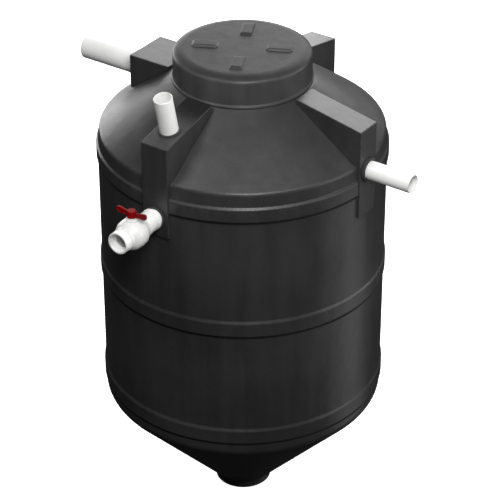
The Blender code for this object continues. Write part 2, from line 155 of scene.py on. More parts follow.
class Graph:
    """The node tree of one material while it is being built."""

    def __init__(self, name: str) -> None:
        """Starts an empty material, with its object coordinates ready.

        Args:
            name: the material's name.
        """
        self.material = bpy.data.materials.new(name)
        self.material.use_nodes = True
        self.tree = self.material.node_tree
        self.tree.nodes.clear()
        self.place = self.node("ShaderNodeTexCoord", output="Object")

    def node(
        self,
        kind: str,
        settings: dict[str, object] | None = None,
        sockets: dict[str | int, object] | None = None,
        output: str | int = 0,
    ) -> Sock:
        """Adds a node.

        Args:
            kind: the node's type.
            settings: its properties, which are set first.
            sockets: a value, colour, vector or link for each input socket, by name or index.
            output: the output socket to return, by name or index.

        Returns:
            That output socket.
        """
        made = self.tree.nodes.new(kind)
        for key, value in (settings or {}).items():
            setattr(made, key, value)
        for key, value in (sockets or {}).items():
            target = self._socket(made.inputs, key)
            if isinstance(value, Sock):
                self.tree.links.new(value.socket, target)
            else:
                target.default_value = value
        return Sock(self, self._socket(made.outputs, output))

    @staticmethod
    def _socket(sockets: Iterable[bpy.types.NodeSocket], key: str | int) -> bpy.types.NodeSocket:
        """Finds a socket.

        Args:
            sockets: a node's inputs or outputs.
            key: the socket's index, or the name of one that is in use.

        Returns:
            The socket.
        """
        if isinstance(key, int):
            return sockets[key]
        return next(socket for socket in sockets if socket.enabled and socket.name == key)

    def noise(self, scale: float, detail: float = 2.0, stretch: Colour = (1.0, 1.0, 1.0)) -> Sock:
        """Noise from 0 to 1.

        Args:
            scale: how many waves there are to a metre.
            detail: how many finer octaves are added.
            stretch: a factor on each axis of the coordinates.

        Returns:
            The noise's value.
        """
        spread = self.node(
            "ShaderNodeVectorMath", {"operation": "MULTIPLY"}, {0: self.place, 1: stretch}
        )
        return self.node(
            "ShaderNodeTexNoise", {}, {"Vector": spread, "Scale": scale, "Detail": detail}, "Fac"
        )

    def between(self, value: Sock, low: float, high: float) -> Sock:
        """Turns a value into a smooth rise.

        Args:
            value: the value.
            low: where the rise starts, at 0.
            high: where it ends, at 1.

        Returns:
            The rise.
        """
        return self.node(
            "ShaderNodeMapRange",
            {"interpolation_type": "SMOOTHSTEP", "clamp": True},
            {"Value": value, "From Min": low, "From Max": high},
        )

    def mix(self, factor: Sock, first: Sock | Colour, second: Sock | Colour) -> Sock:
        """Blends two colours.

        Args:
            factor: the second colour's share.
            first: the first colour.
            second: the second colour.

        Returns:
            The blend.
        """
        ends = [end if isinstance(end, Sock) else (*end, 1.0) for end in (first, second)]
        return self.node(
            "ShaderNodeMix",
            {"data_type": "RGBA"},
            {"Factor": factor, "A": ends[0], "B": ends[1]},
            "Result",
        )

    def upward(self) -> Sock:
        """How far the surface faces up, from -1 to 1."""
        normal = self.node("ShaderNodeNewGeometry", output="Normal")
        return self.node("ShaderNodeSeparateXYZ", {}, {"Vector": normal}, "Z")

    def attribute(self, name: str) -> Sock:
        """The mesh's own number of that name at each point."""
        return self.node("ShaderNodeAttribute", {"attribute_name": name}, {}, "Fac")

    def bump(self, height: Sock, distance: float) -> Sock:
        """The normal that a height gives, where a height of 1 stands for the distance in metres."""
        return self.node("ShaderNodeBump", {}, {"Height": height, "Distance": distance})

    def close(self, sockets: dict[str | int, object]) -> bpy.types.Material:
        """Adds the Principled shader with those sockets and the output.

        Args:
            sockets: values and links for the shader's sockets.

        Returns:
            The finished material.
        """
        shader = self.node("ShaderNodeBsdfPrincipled", {}, sockets)
        output = self.tree.nodes.new("ShaderNodeOutputMaterial")
        self.tree.links.new(shader.socket, output.inputs["Surface"])
        return self.material


@dataclass(frozen=True)
class Finish:
    """A finish: a material's name, colour and roughness, with the slot that it belongs to."""

    name: str
    slot: Slot
    colour: Colour
    roughness: float

    def material(self) -> bpy.types.Material:
        """The finish's material, made once and then shared."""
        return bpy.data.materials.get(self.name) or self.paint(Graph(self.name))

    def paint(self, graph: Graph) -> bpy.types.Material:
        """Builds the material in an empty graph."""
        raise NotImplementedError


@dataclass(frozen=True)
class TankPlastic(Finish):
    """Rotomoulded black polyethylene: orange peel, cloudy gloss, water marks, and dust where it faces up.

    Painted shade, mixed towards near-black, darkens it where the mesh stores it: in the creases under the rim
    and bands, in the fillets on the dome and on flat tops beside the lid. Where the surface is steep a coat
    can give it a sheen, and flat tops can be darker by a painted top shade.
    """

    dust: float = 0.045
    dust_colour: Colour = (0.200, 0.196, 0.188)
    wear: float = 0.35
    worn_colour: Colour = (0.075, 0.075, 0.076)
    # painted shade: the near-black that creases, fillets, tops beside the lid and flat tops are darkened
    # towards
    painted_shade_colour: Colour = (0.0015, 0.0015, 0.0014)
    specular: float = 0.34
    sheen: float = 0.0
    # how much flat tops are darkened, a painted top shade
    painted_top_shade: float = 0.0
    lighter: float = 1.55
    cloud_waves: float = 2.3
    cloud_dust: Point = (0.55, 0.75)
    cloud_gloss: float = 0.10
    mottle_waves: float = 38.0
    mottle_gloss: float = 0.07
    mottle_height: float = 0.90
    mark_waves: float = 2.2
    mark_stretch: Colour = (8.0, 8.0, 0.7)
    mark_share: float = 0.4
    peel_waves: float = 210.0
    peel_height: float = 0.55
    ripple_waves: float = 11.0
    ripple_height: float = 2.20
    relief_depth: float = 0.0007
    dull: float = 0.5
    polish: float = 0.15
    coat_smoother: float = 0.12
    dusty_range: Point = (0.25, 0.95)
    flat_range: Point = (0.66, 0.94)
    rubbed_range: Point = (0.35, 0.70)
    lighter_range: Point = (0.36, 0.66)

    def paint(self, graph: Graph) -> bpy.types.Material:
        """Builds the plastic's material.

        Args:
            graph: an empty graph.

        Returns:
            The material.
        """
        cloud = graph.noise(self.cloud_waves, detail=4.0)
        mottle = graph.noise(self.mottle_waves, detail=3.0)
        marks = graph.noise(self.mark_waves, detail=5.0, stretch=self.mark_stretch)
        peel = graph.noise(self.peel_waves)
        ripple = graph.noise(self.ripple_waves, detail=1.0)
        facing_up = graph.between(graph.upward(), *self.dusty_range)
        steep = 1.0 - graph.between(graph.upward(), *self.flat_range)
        thin, thicker = self.cloud_dust
        film = facing_up * (thin + thicker * cloud) * self.dust
        rubbed = graph.attribute("wear") * graph.between(mottle, *self.rubbed_range) * self.wear
        lifted = tuple(self.lighter * part for part in self.colour)
        patches = cloud * (1.0 - self.mark_share) + marks * self.mark_share
        shade = graph.mix(graph.between(patches, *self.lighter_range), self.colour, lifted)
        shade = graph.mix(film, shade, self.dust_colour)
        shade = graph.mix(rubbed, shade, self.worn_colour)
        # painted shade: creases, fillets and tops beside the lid, and flat tops by the painted top shade,
        # darkened towards near-black
        painted_shade = graph.attribute("shaded_crease") + graph.attribute("lid_shade") * (1.0 - steep)
        top_shade_share = (1.0 - steep) * self.painted_top_shade
        shade = graph.mix(painted_shade + top_shade_share, shade, self.painted_shade_colour)
        gloss = self.roughness + (cloud - 0.5) * self.cloud_gloss + (mottle - 0.5) * self.mottle_gloss
        gloss = gloss + film * self.dull - rubbed * self.polish + painted_shade * self.dull
        relief = peel * self.peel_height + mottle * self.mottle_height + ripple * self.ripple_height
        return graph.close(
            {
                "Base Color": shade,
                "Roughness": gloss,
                "Normal": graph.bump(relief, self.relief_depth),
                "Specular IOR Level": self.specular,
                "Coat Weight": steep * self.sheen,
                "Coat Roughness": self.roughness - self.coat_smoother,
            }
        )


@dataclass(frozen=True)
class PipePlastic(Finish):
    """White PVC: smooth, with a fine grain, faint handling marks and greyer edges."""

    grime: float = 0.16
    grime_colour: Colour = (0.46, 0.44, 0.40)
    darker: float = 0.93
    cloud_waves: float = 9.0
    cloud_gloss: float = 0.06
    cloud_height: float = 1.2
    smear_waves: float = 34.0
    smear_stretch: Colour = (1.0, 1.0, 0.5)
    smear_share: float = 0.5
    smear_gloss: float = 0.6
    fine_waves: float = 380.0
    fine_height: float = 0.4
    relief_depth: float = 0.0004
    ior: float = 1.53
    worn: float = 0.18
    worn_range: Point = (0.30, 0.60)
    darker_range: Point = (0.35, 0.70)
    soiled_range: Point = (0.52, 0.78)

    def paint(self, graph: Graph) -> bpy.types.Material:
        """Builds the pipe plastic's material.

        Args:
            graph: an empty graph.

        Returns:
            The material.
        """
        cloud = graph.noise(self.cloud_waves, detail=4.0)
        smear = graph.noise(self.smear_waves, detail=5.0, stretch=self.smear_stretch)
        fine = graph.noise(self.fine_waves)
        soiled = graph.between(smear, *self.soiled_range) * self.grime
        edges = graph.attribute("wear") * graph.between(cloud, *self.worn_range) * self.worn
        cooler = tuple(self.darker * part for part in self.colour)
        shade = graph.mix(graph.between(cloud, *self.darker_range), self.colour, cooler)
        shade = graph.mix(soiled * self.smear_share + edges, shade, self.grime_colour)
        relief = fine * self.fine_height + cloud * self.cloud_height
        return graph.close(
            {
                "Base Color": shade,
                "Roughness": self.roughness + soiled * self.smear_gloss + (cloud - 0.5) * self.cloud_gloss,
                "Normal": graph.bump(relief, self.relief_depth),
                "IOR": self.ior,
            }
        )


@dataclass(frozen=True)
class SealRubber(Finish):
    """Black rubber: dull, with a dry bloom."""

    bloom_colour: Colour = (0.022, 0.022, 0.021)
    bloom_waves: float = 60.0
    bloom_range: Point = (0.40, 0.75)
    bloom_gloss: float = 0.2
    bloom_height: float = 0.6
    grain_waves: float = 900.0
    relief_depth: float = 0.0003

    def paint(self, graph: Graph) -> bpy.types.Material:
        """Builds the rubber's material.

        Args:
            graph: an empty graph.

        Returns:
            The material.
        """
        bloom = graph.noise(self.bloom_waves, detail=4.0)
        grain = graph.noise(self.grain_waves)
        shade = graph.mix(graph.between(bloom, *self.bloom_range), self.colour, self.bloom_colour)
        return graph.close(
            {
                "Base Color": shade,
                "Roughness": self.roughness + (bloom - 0.5) * self.bloom_gloss,
                "Normal": graph.bump(grain + bloom * self.bloom_height, self.relief_depth),
            }
        )


@dataclass(frozen=True)
class HandlePlastic(Finish):
    """Red moulded plastic: an even spark-eroded grain, a little paler where hands rub its edges."""

    rubbed_colour: Colour = (0.270, 0.008, 0.009)
    darker: float = 0.72
    specular: float = 0.10
    cloud_waves: float = 26.0
    cloud_gloss: float = 0.12
    grain_waves: float = 1200.0
    relief_depth: float = 0.00012
    wear: float = 0.5
    polish: float = 0.1
    darker_range: Point = (0.35, 0.70)
    rubbed_range: Point = (0.35, 0.65)

    def paint(self, graph: Graph) -> bpy.types.Material:
        """Builds the handle plastic's material.

        Args:
            graph: an empty graph.

        Returns:
            The material.
        """
        cloud = graph.noise(self.cloud_waves, detail=3.0)
        grain = graph.noise(self.grain_waves, detail=1.0)
        rubbed = graph.attribute("wear") * graph.between(cloud, *self.rubbed_range) * self.wear
        deeper = tuple(self.darker * part for part in self.colour)
        shade = graph.mix(graph.between(cloud, *self.darker_range), self.colour, deeper)
        shade = graph.mix(rubbed, shade, self.rubbed_colour)
        return graph.close(
            {
                "Base Color": shade,
                "Roughness": self.roughness + (cloud - 0.5) * self.cloud_gloss - rubbed * self.polish,
                "Normal": graph.bump(grain, self.relief_depth),
                "Specular IOR Level": self.specular,
            }
        )


TANK = TankPlastic("tank_plastic", Slot.TANK, (0.0240, 0.0240, 0.0242), 0.37)
# The lid's plastic: lighter than the tank's, a painted light on its steep skirt and rim, and darkened again
# on its flat top by a painted top shade.
LID_TOP = TankPlastic(
    "lid_plastic",
    Slot.TANK,
    (0.0380, 0.0380, 0.0384),
    0.47,
    dust=0.01,
    wear=0.05,
    specular=0.085,
    sheen=0.36,
    painted_top_shade=0.49,
)
PIPE = PipePlastic("pipe_plastic", Slot.PIPE, (0.89, 0.89, 0.88), 0.32)
# The valve body's plastic: the pipe plastic made darker, a painted shade.
VALVE = PipePlastic("valve_plastic", Slot.PIPE, (0.74, 0.74, 0.73), 0.32)
SEAL = SealRubber("seal_rubber", Slot.SEAL, (0.006, 0.006, 0.006), 0.75)
HANDLE = HandlePlastic("handle_plastic", Slot.HANDLE, (0.190, 0.0012, 0.0025), 0.44)


@dataclass(frozen=True)
class Corner:
    """A corner of an outline or a route, rounded by an arc of the radius."""

    x: float
    y: float
    radius: float = 0.0


def arc_shares(sweep: float, steps: int) -> list[Point]:
    """How much of an arc's first and of its last radius add up to each point on it.

    Args:
        sweep: the angle between the two radii.
        steps: how many steps the arc has.

    Returns:
        The two shares for each point.
    """
    turns = [k / steps for k in range(steps + 1)]
    whole = math.sin(sweep)
    return [(math.sin((1 - turn) * sweep) / whole, math.sin(turn * sweep) / whole) for turn in turns]


def rounded(corners: Sequence[Corner], closed: bool = False) -> list[Point]:
    """Draws a line through corners with an arc at each one that has a radius.

    A point beside each arc, on the straight, keeps the shading of the straight flat.

    Args:
        corners: the corners in order.
        closed: whether the last corner leads back to the first.

    Returns:
        The line's points.
    """
    spots = [Vector((corner.x, corner.y)) for corner in corners]
    count = len(spots)
    points: list[Vector] = []
    for i, corner in enumerate(corners):
        if corner.radius == 0.0 or (not closed and i in (0, count - 1)):
            points.append(spots[i])
            continue
        back, on = spots[i - 1] - spots[i], spots[(i + 1) % count] - spots[i]
        room = ARC_ROOM * min(back.length, on.length)
        back.normalize()
        on.normalize()
        half = back.angle(on) / 2
        reach = min(corner.radius / math.tan(half), room)
        centre = spots[i] + (back + on).normalized() * (reach / math.cos(half))
        start, end = spots[i] + back * reach, spots[i] + on * reach
        sweep = math.pi - 2 * half
        beside = min(SUPPORT * reach, room - reach)
        if beside > SHORT:
            points.append(start + back * beside)
        for first, last in arc_shares(sweep, max(ARC_LEAST, math.ceil(sweep / ARC_STEP))):
            points.append(centre + (start - centre) * first + (end - centre) * last)
        if beside > SHORT:
            points.append(end + on * beside)
    return [(point.x, point.y) for point in points]


def inset(outline: Sequence[Point], distance: float, closed: bool = False) -> list[Point]:
    """Moves every point of an outline to the right of its direction of travel.

    Args:
        outline: the points in order.
        distance: how far, in metres.
        closed: whether the last point leads back to the first.

    Returns:
        The moved points.
    """
    spots = [Vector(point) for point in outline]
    moved = []
    for i, spot in enumerate(spots):
        before = spots[i - 1] if closed or i > 0 else spot
        after = spots[(i + 1) % len(spots)] if closed or i < len(spots) - 1 else spot
        normals = []
        for start, end in ((before, spot), (spot, after)):
            along = end - start
            if along.length > NIL:
                normals.append(Vector((along.y, -along.x)).normalized())
        middle = sum(normals, Vector((0.0, 0.0))).normalized()
        stretch = max(MITRE, middle.dot(normals[0]))
        moved.append((spot.x + middle.x * distance / stretch, spot.y + middle.y * distance / stretch))
    return moved


def resampled(line: Sequence[Point], step: float) -> np.ndarray:
    """Adds points to a line wherever two are more than a step apart.

    Args:
        line: the line's points.
        step: the largest distance between two of the new points.

    Returns:
        The new points as rows of an array.
    """
    rows = []
    for (x0, y0), (x1, y1) in zip(line, line[1:]):
        count = max(1, math.ceil(math.hypot(x1 - x0, y1 - y0) / step))
        shares = np.arange(count) / count
        rows.append(np.column_stack([x0 + (x1 - x0) * shares, y0 + (y1 - y0) * shares]))
    rows.append(np.array([line[-1]]))
    return np.vstack(rows)


def left_of(line: np.ndarray) -> list[Point]:
    """The direction square to a line, to its left, at each of its points."""
    steps = [line[min(k + 1, len(line) - 1)] - line[max(k - 1, 0)] for k in range(len(line))]
    return [(-step[1], step[0]) for step in (step / np.hypot(*step) for step in steps)]


def at_azimuth(azimuth: float, d: float, across: float, z: float) -> Vector:
    """A point by its place along and across an azimuth.

    Args:
        azimuth: the azimuth in degrees.
        d: the distance along it, from the tank's axis.
        across: the distance across it, to its left.
        z: the height.

    Returns:
        The point.
    """
    angle = math.radians(azimuth)
    outward = Vector((math.cos(angle), math.sin(angle), 0.0))
    sideways = Vector((-math.sin(angle), math.cos(angle), 0.0))
    return outward * d + sideways * across + Vector((0.0, 0.0, z))


class Route:
    """A line in space that turned pieces and pipes are built round."""

    def __init__(self, points: Sequence[Vector], across: Vector) -> None:
        """Starts a route.

        Args:
            points: the points it runs through, which lie in one plane.
            across: the direction square to that plane.
        """
        self.points = list(points)
        self.across = across.normalized()
        pairs = list(zip(self.points, self.points[1:]))
        self.stations = [0.0]
        for start, end in pairs:
            self.stations.append(self.stations[-1] + (end - start).length)
        legs = [(end - start).normalized() for start, end in pairs]
        inner = [(one + two).normalized() for one, two in zip(legs, legs[1:])]
        self.headings = [legs[0], *inner, legs[-1]]

    @classmethod
    def straight(cls, start: Vector, direction: Vector) -> "Route":
        """A straight route from a point."""
        along = direction.normalized()
        return cls([start, start + along], along.orthogonal())

    @classmethod
    def upright(cls, corners: Sequence[Corner], azimuth: float) -> "Route":
        """A route through (d, z) corners in the upright plane of an azimuth."""
        points = [at_azimuth(azimuth, d, 0.0, z) for d, z in rounded(corners)]
        return cls(points, at_azimuth(azimuth, 0.0, 1.0, 0.0))

    def ring(self, radius: float, along: float, steps: int) -> list[Vector]:
        """A ring of points round the route.

        Args:
            radius: the ring's radius; 0 makes one point.
            along: its distance along the route, which may lie before or past the ends.
            steps: how many points it has.

        Returns:
            The ring's points.
        """
        last = len(self.points) - 2
        k = min(last, max(0, int(np.searchsorted(self.stations, along, side="right")) - 1))
        share = (along - self.stations[k]) / (self.stations[k + 1] - self.stations[k])
        near, far = self.points[k], self.points[k + 1]
        spot = near.lerp(far, share) if 0 <= share <= 1 else near + (far - near) * share
        if radius < SAME_SPOT:
            return [spot]
        heading = self.headings[k].lerp(self.headings[k + 1], min(1.0, max(0.0, share))).normalized()
        side = heading.cross(self.across)
        angles = [2 * math.pi * i / steps for i in range(steps)]
        return [spot + (side * math.cos(a) + self.across * math.sin(a)) * radius for a in angles]


class Shape:
    """The points and faces of one or more closed bodies that make one piece."""

    def __init__(self) -> None:
        """Starts with no bodies."""
        self.points: list[Vector] = []
        self.faces: list[list[int]] = []

    def loft(self, rings: Sequence[Sequence[Vector]], closed: bool = False) -> "Shape":
        """Skins a body over rings with the same number of points; a ring of one point is a tip.

        Args:
            rings: the rings in order.
            closed: whether the last ring leads back to the first. If not, open ends get a cap.

        Returns:
            This shape.
        """
        indices = []
        for ring in rings:
            indices.append(list(range(len(self.points), len(self.points) + len(ring))))
            self.points.extend(ring)
        pairs = list(zip(indices, indices[1:]))
        if closed:
            pairs.append((indices[-1], indices[0]))
        for near, far in pairs:
            count = max(len(near), len(far))
            for i in range(count):
                j = (i + 1) % count
                around = [near[i % len(near)], near[j % len(near)], far[j % len(far)], far[i % len(far)]]
                corners = [n for k, n in enumerate(around) if n not in around[:k]]
                if len(corners) > 2:
                    self.faces.append(corners)
        for end in (() if closed else (indices[0], indices[-1])):
            if len(end) > 2:
                self.faces.append(list(end))
        return self

    def turn(self, outline: Sequence[Point], route: Route, steps: int, closed: bool = True) -> "Shape":
        """Turns an outline of (radius, distance along) round a route."""
        return self.loft([route.ring(radius, along, steps) for radius, along in outline], closed)

    def prism(self, outline: Sequence[Point], half: float, azimuth: float) -> "Shape":
        """Gives a (d, z) outline a width across its azimuth."""
        sides = (-half, half)
        return self.loft([[at_azimuth(azimuth, d, side, z) for d, z in outline] for side in sides])

    def piece(self, name: str) -> bpy.types.Object:
        """Puts the shape in the scene, its faces pointing out and shaded smooth between sharp edges.

        Args:
            name: the object's name.

        Returns:
            The object.
        """
        mesh = bpy.data.meshes.new(name)
        mesh.from_pydata([tuple(point) for point in self.points], [], self.faces)
        tidy = bmesh.new()
        tidy.from_mesh(mesh)
        bmesh.ops.remove_doubles(tidy, verts=tidy.verts, dist=SAME_SPOT)
        bmesh.ops.recalc_face_normals(tidy, faces=tidy.faces)
        tidy.to_mesh(mesh)
        tidy.free()
        made = bpy.data.objects.new(name, mesh)
        bpy.context.scene.collection.objects.link(made)
        smooth(made)
        return made


def smooth(piece: bpy.types.Object) -> None:
    """Shades a piece smooth, with an edge wherever its faces meet sharply."""
    piece.data.shade_smooth()
    piece.data.set_sharp_from_angle(angle=SHARP)


def settled_mesh(piece: bpy.types.Object) -> None:
    """Applies a piece's modifiers to its mesh.

    Args:
        piece: the piece.
    """
    graph = bpy.context.evaluated_depsgraph_get()
    mesh = bpy.data.meshes.new_from_object(piece.evaluated_get(graph))
    piece.modifiers.clear()
    old, piece.data = piece.data, mesh
    name = old.name
    bpy.data.meshes.remove(old)
    mesh.name = name


def carve(piece: bpy.types.Object, cutters: Sequence[bpy.types.Object]) -> None:
    """Cuts other objects out of a piece.

    Args:
        piece: the piece.
        cutters: the closed objects to cut out, which stay in the scene.
    """
    for cutter in cutters:
        cut = piece.modifiers.new(cutter.name, "BOOLEAN")
        cut.operation = "DIFFERENCE"
        cut.solver = "MANIFOLD"
        cut.object = cutter
    settled_mesh(piece)
    smooth(piece)


def round_edges(piece: bpy.types.Object, radius: float) -> None:
    """Rounds every sharp edge of a piece.

    Args:
        piece: the piece.
        radius: how far in from the edge the rounding starts.
    """
    bevel = piece.modifiers.new("round", "BEVEL")
    bevel.width = radius
    bevel.segments = BEVEL_STEPS
    bevel.limit_method = "ANGLE"
    bevel.angle_limit = SHARP
    settled_mesh(piece)
    smooth(piece)


def discard(objects: Iterable[bpy.types.Object]) -> None:
    """Removes cutters that have done their work."""
    for item in objects:
        bpy.data.objects.remove(item, do_unlink=True)


def points_of(piece: bpy.types.Object) -> np.ndarray:
    """The points of a piece's mesh as rows of an array."""
    return np.array([vert.co for vert in piece.data.vertices])


def store(piece: bpy.types.Object, name: str, values: np.ndarray) -> None:
    """Stores a number for each point of a piece, for its material to read."""
    column = piece.data.attributes.new(name, "FLOAT", "POINT")
    column.data.foreach_set("value", values.astype(np.float32))


def eased(share: np.ndarray) -> np.ndarray:
    """A smooth rise from 0 at 0 to 1 at 1."""
    kept = np.clip(share, 0.0, 1.0)
    return kept * kept * (3.0 - 2.0 * kept)


def mark_wear(piece: bpy.types.Object) -> None:
    """Stores how exposed each point is, from 0 on flats and hollows to 1 on tight outer edges, as "wear".

    Args:
        piece: the piece to mark.
    """
    mesh = bmesh.new()
    mesh.from_mesh(piece.data)
    bend = np.zeros(len(mesh.verts))
    area = np.full(len(mesh.verts), NIL)
    for edge in mesh.edges:
        turned = max(0.0, edge.calc_face_angle_signed(0.0)) * edge.calc_length() / 2
        for vert in edge.verts:
            bend[vert.index] += turned
    for face in mesh.faces:
        share = face.calc_area() / len(face.verts)
        for vert in face.verts:
            area[vert.index] += share
    mesh.free()
    store(piece, "wear", np.clip(bend / area / WORN_BEND, 0.0, 1.0))


def settle(piece: bpy.types.Object, finish: Finish, body: Body, *nodes: str) -> None:
    """Dresses a finished piece and puts it in the place of its CAD nodes.

    Args:
        piece: the piece.
        finish: its finish.
        body: the body that it rides on.
        nodes: the CAD nodes that it stands for.
    """
    mark_wear(piece)
    piece.data.materials.clear()
    piece.data.materials.append(finish.material())
    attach(piece, body.value)
    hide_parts(*nodes)
    LOG.info("%s: %d faces, on %s, for %s", piece.name, len(piece.data.polygons), body.value, nodes)


UP = Route.straight(Vector((0.0, 0.0, 0.0)), Vector((0.0, 0.0, 1.0)))


@dataclass(frozen=True)
class TankShell:
    """The rotomoulded shell, from the shelf round its manhole down to its foot."""

    wall: float = 0.0060
    body_r: float = 0.5690
    band_r: float = 0.5750
    neck_r: float = 0.2585
    neck_top: float = 2.0120
    neck_low: float = 1.9000
    shelf: Corner = Corner(0.2760, 1.9130, 0.006)
    dome: tuple[Corner, ...] = (Corner(0.4300, 1.8050, 0.90), Corner(0.5300, 1.7330, 0.25))
    knee: Corner = Corner(0.5612, 1.7095, 0.022)
    rim: Corner = Corner(0.5750, 1.6485, 0.008)
    rim_root: Corner = Corner(0.5668, 1.6580, 0.006)
    rim_low: float = 1.5985
    bands: tuple[Point, ...] = ((1.1420, 1.0870), (0.6335, 0.5785))
    band_rise: float = 0.0120
    band_fall: float = 0.0120
    band_round: float = 0.0100
    crease_drop: float = 0.0080
    crease_half: float = 0.0120
    cone_round: Corner = Corner(0.5690, 0.5205, 0.070)
    foot_r: float = 0.1160
    foot_top: float = 0.0313
    foot_floor: float = 0.0080
    foot_round: float = 0.0040
    lip_round: float = 0.0020
    shoulder_low: float = 1.6380
    barrel_low: float = 0.5650
    core_low: float = 1.3000
    saddle_in: float = 0.0300
    saddle_out: float = 0.0065
    saddle_spare: float = 0.0035

    def outside(self) -> list[Point]:
        """Draws the shell's outer face, with extra points in the creases.

        Returns:
            The outline, top to bottom.
        """
        line = [
            Corner(self.neck_r + CLEAR, self.shelf.y),
            self.shelf,
            *self.dome,
            self.knee,
            self.rim_root,
            self.rim,
            Corner(self.band_r, self.rim_low, self.band_round),
            Corner(self.body_r, self.rim_low - self.band_fall, self.band_round),
        ]
        for top, low in self.bands:
            line.append(Corner(self.body_r, top + self.band_rise, self.band_round))
            line.append(Corner(self.band_r, top, self.band_round))
            line.append(Corner(self.band_r, low, self.band_round))
            line.append(Corner(self.body_r, low - self.band_fall, self.band_round))
        line += [self.cone_round, Corner(self.foot_r, self.foot_top)]
        outline = rounded(line)
        radii, heights = (np.array(column) for column in zip(*outline))
        for shaded_crease in self.creases():
            for z in np.linspace(shaded_crease - self.crease_half, shaded_crease + self.crease_half, CREASE_POINTS):
                outline.append((float(np.interp(z, heights[::-1], radii[::-1])), float(z)))
        return sorted(outline, key=lambda point: -point[1])

    def creases(self) -> list[float]:
        """The heights of the creases under the rim and the bands, which get a painted shade."""
        return [low - self.crease_drop for low in (self.rim_low, *(low for _, low in self.bands))]

    def paint_crease_shade(self, piece: bpy.types.Object) -> None:
        """Stores a painted shade for each point of a piece, from 0 to 1 by how near it lies to one of the
        creases.
        """
        away = np.min([np.abs(points_of(piece)[:, 2] - shaded_crease) for shaded_crease in self.creases()], axis=0)
        store(piece, "shaded_crease", eased(1.0 - away / self.crease_half))

    def band_of(self, high: float, low: float) -> list[Point]:
        """The wall's section between two heights.

        Args:
            high: the upper height.
            low: the lower height.

        Returns:
            The section as a closed outline.
        """
        outer = self.outside()
        sides = []
        for line in (outer, inset(outer, self.wall)):
            radii, heights = (np.array(column) for column in zip(*line))
            inside = [(r, z) for r, z in line if low < z < high]
            ends = [(float(np.interp(z, heights[::-1], radii[::-1])), z) for z in (high, low)]
            sides.append([ends[0], *inside, ends[1]])
        return sides[0] + sides[1][::-1]

    def shoulder(self) -> bpy.types.Object:
        """Makes the dome with its shelf, knee and rim.

        Returns:
            The dome.
        """
        outer = self.outside()
        line = [point for point in outer if point[1] > self.shoulder_low]
        line.append((self.band_r, self.shoulder_low))
        inner = inset(line, self.wall)
        inner[0] = (self.neck_r + CLEAR, inner[0][1])
        inner[-1] = (inner[-1][0], self.shoulder_low)
        return Shape().turn(line + inner[::-1], UP, TANK_STEPS).piece("shoulder")

    def barrel(self) -> bpy.types.Object:
        """The upright wall with its bands."""
        outline = self.band_of(self.shoulder_low, self.barrel_low)
        return Shape().turn(outline, UP, TANK_STEPS).piece("barrel")

    def cone(self) -> bpy.types.Object:
        """The bottom cone."""
        outline = self.band_of(self.barrel_low, self.foot_top)
        return Shape().turn(outline, UP, TANK_STEPS).piece("bottom_cone")

    def foot(self) -> bpy.types.Object:
        """Makes the cup that the cone ends in and that the tank stands on.

        Returns:
            The cup.
        """
        inner = self.foot_r - self.wall
        line = [
            Corner(self.foot_r, self.foot_top),
            Corner(self.foot_r, 0.0, self.foot_round),
            Corner(0.0, 0.0),
            Corner(0.0, self.foot_floor),
            Corner(inner, self.foot_floor, self.foot_round),
            Corner(inner, self.foot_top),
        ]
        return Shape().turn(rounded(line), UP, TANK_STEPS).piece("foot")

    def neck(self) -> bpy.types.Object:
        """Makes the manhole's upright neck.

        Returns:
            The neck.
        """
        inner = self.neck_r - self.wall
        line = [
            Corner(self.neck_r, self.neck_low),
            Corner(inner, self.neck_low),
            Corner(inner, self.neck_top, self.lip_round),
            Corner(self.neck_r, self.neck_top, self.lip_round),
        ]
        return Shape().turn(rounded(line, closed=True), UP, TANK_STEPS).piece("neck")

    def core(self, depth: float) -> bpy.types.Object:
        """Fills the tank's inside, to trim what is let into the wall.

        Args:
            depth: how far under the tank's outer face the solid stays.

        Returns:
            The solid.
        """
        low = self.core_low
        line = inset([point for point in self.outside()[1:] if point[1] > low], depth)
        outline = [(0.0, line[0][1]), *line, (line[-1][0], low), (0.0, low)]
        return Shape().turn(outline, UP, TANK_STEPS, closed=False).piece("core")

    def build(self, openings: Sequence["Housing"]) -> None:
        """Builds and dresses the shell's pieces, with the ways into the housings cut.

        Args:
            openings: the outlet's, rear, inlet's and sludge housings.
        """
        shoulder, barrel = self.shoulder(), self.barrel()
        slots = [housing.slot() for housing in openings]
        outlet, _, inlet, sludge = openings
        outlet_hole, sludge_hole = outlet.hole(), sludge.hole()
        saddle = inlet.hole(self.saddle_in, self.saddle_out, self.saddle_spare)
        carve(shoulder, [*slots, saddle, outlet_hole])
        carve(barrel, [outlet_hole, sludge_hole])
        discard([*slots, outlet_hole, sludge_hole, saddle])
        self.paint_crease_shade(barrel)
        settle(shoulder, TANK, Body.DIGESTER, "tank_shoulder")
        settle(barrel, TANK, Body.DIGESTER, "tank_barrel")
        settle(self.cone(), TANK, Body.DIGESTER, "tank_bottom_cone")
        settle(self.foot(), TANK, Body.DIGESTER, "base_foot")
        settle(self.neck(), TANK, Body.DIGESTER, "manhole_neck")


@dataclass(frozen=True)
class Contact:
    """A ball that rests in the corner of a housing and the tank, with their normals where it touches them."""

    centre: Vector
    radius: float
    wall: Vector
    tank: Vector


@dataclass(frozen=True)
class Bore:
    """A round hole for a pipe and its seal: a point on its axis, its direction and its radius."""

    origin: Vector
    direction: Vector
    radius: float


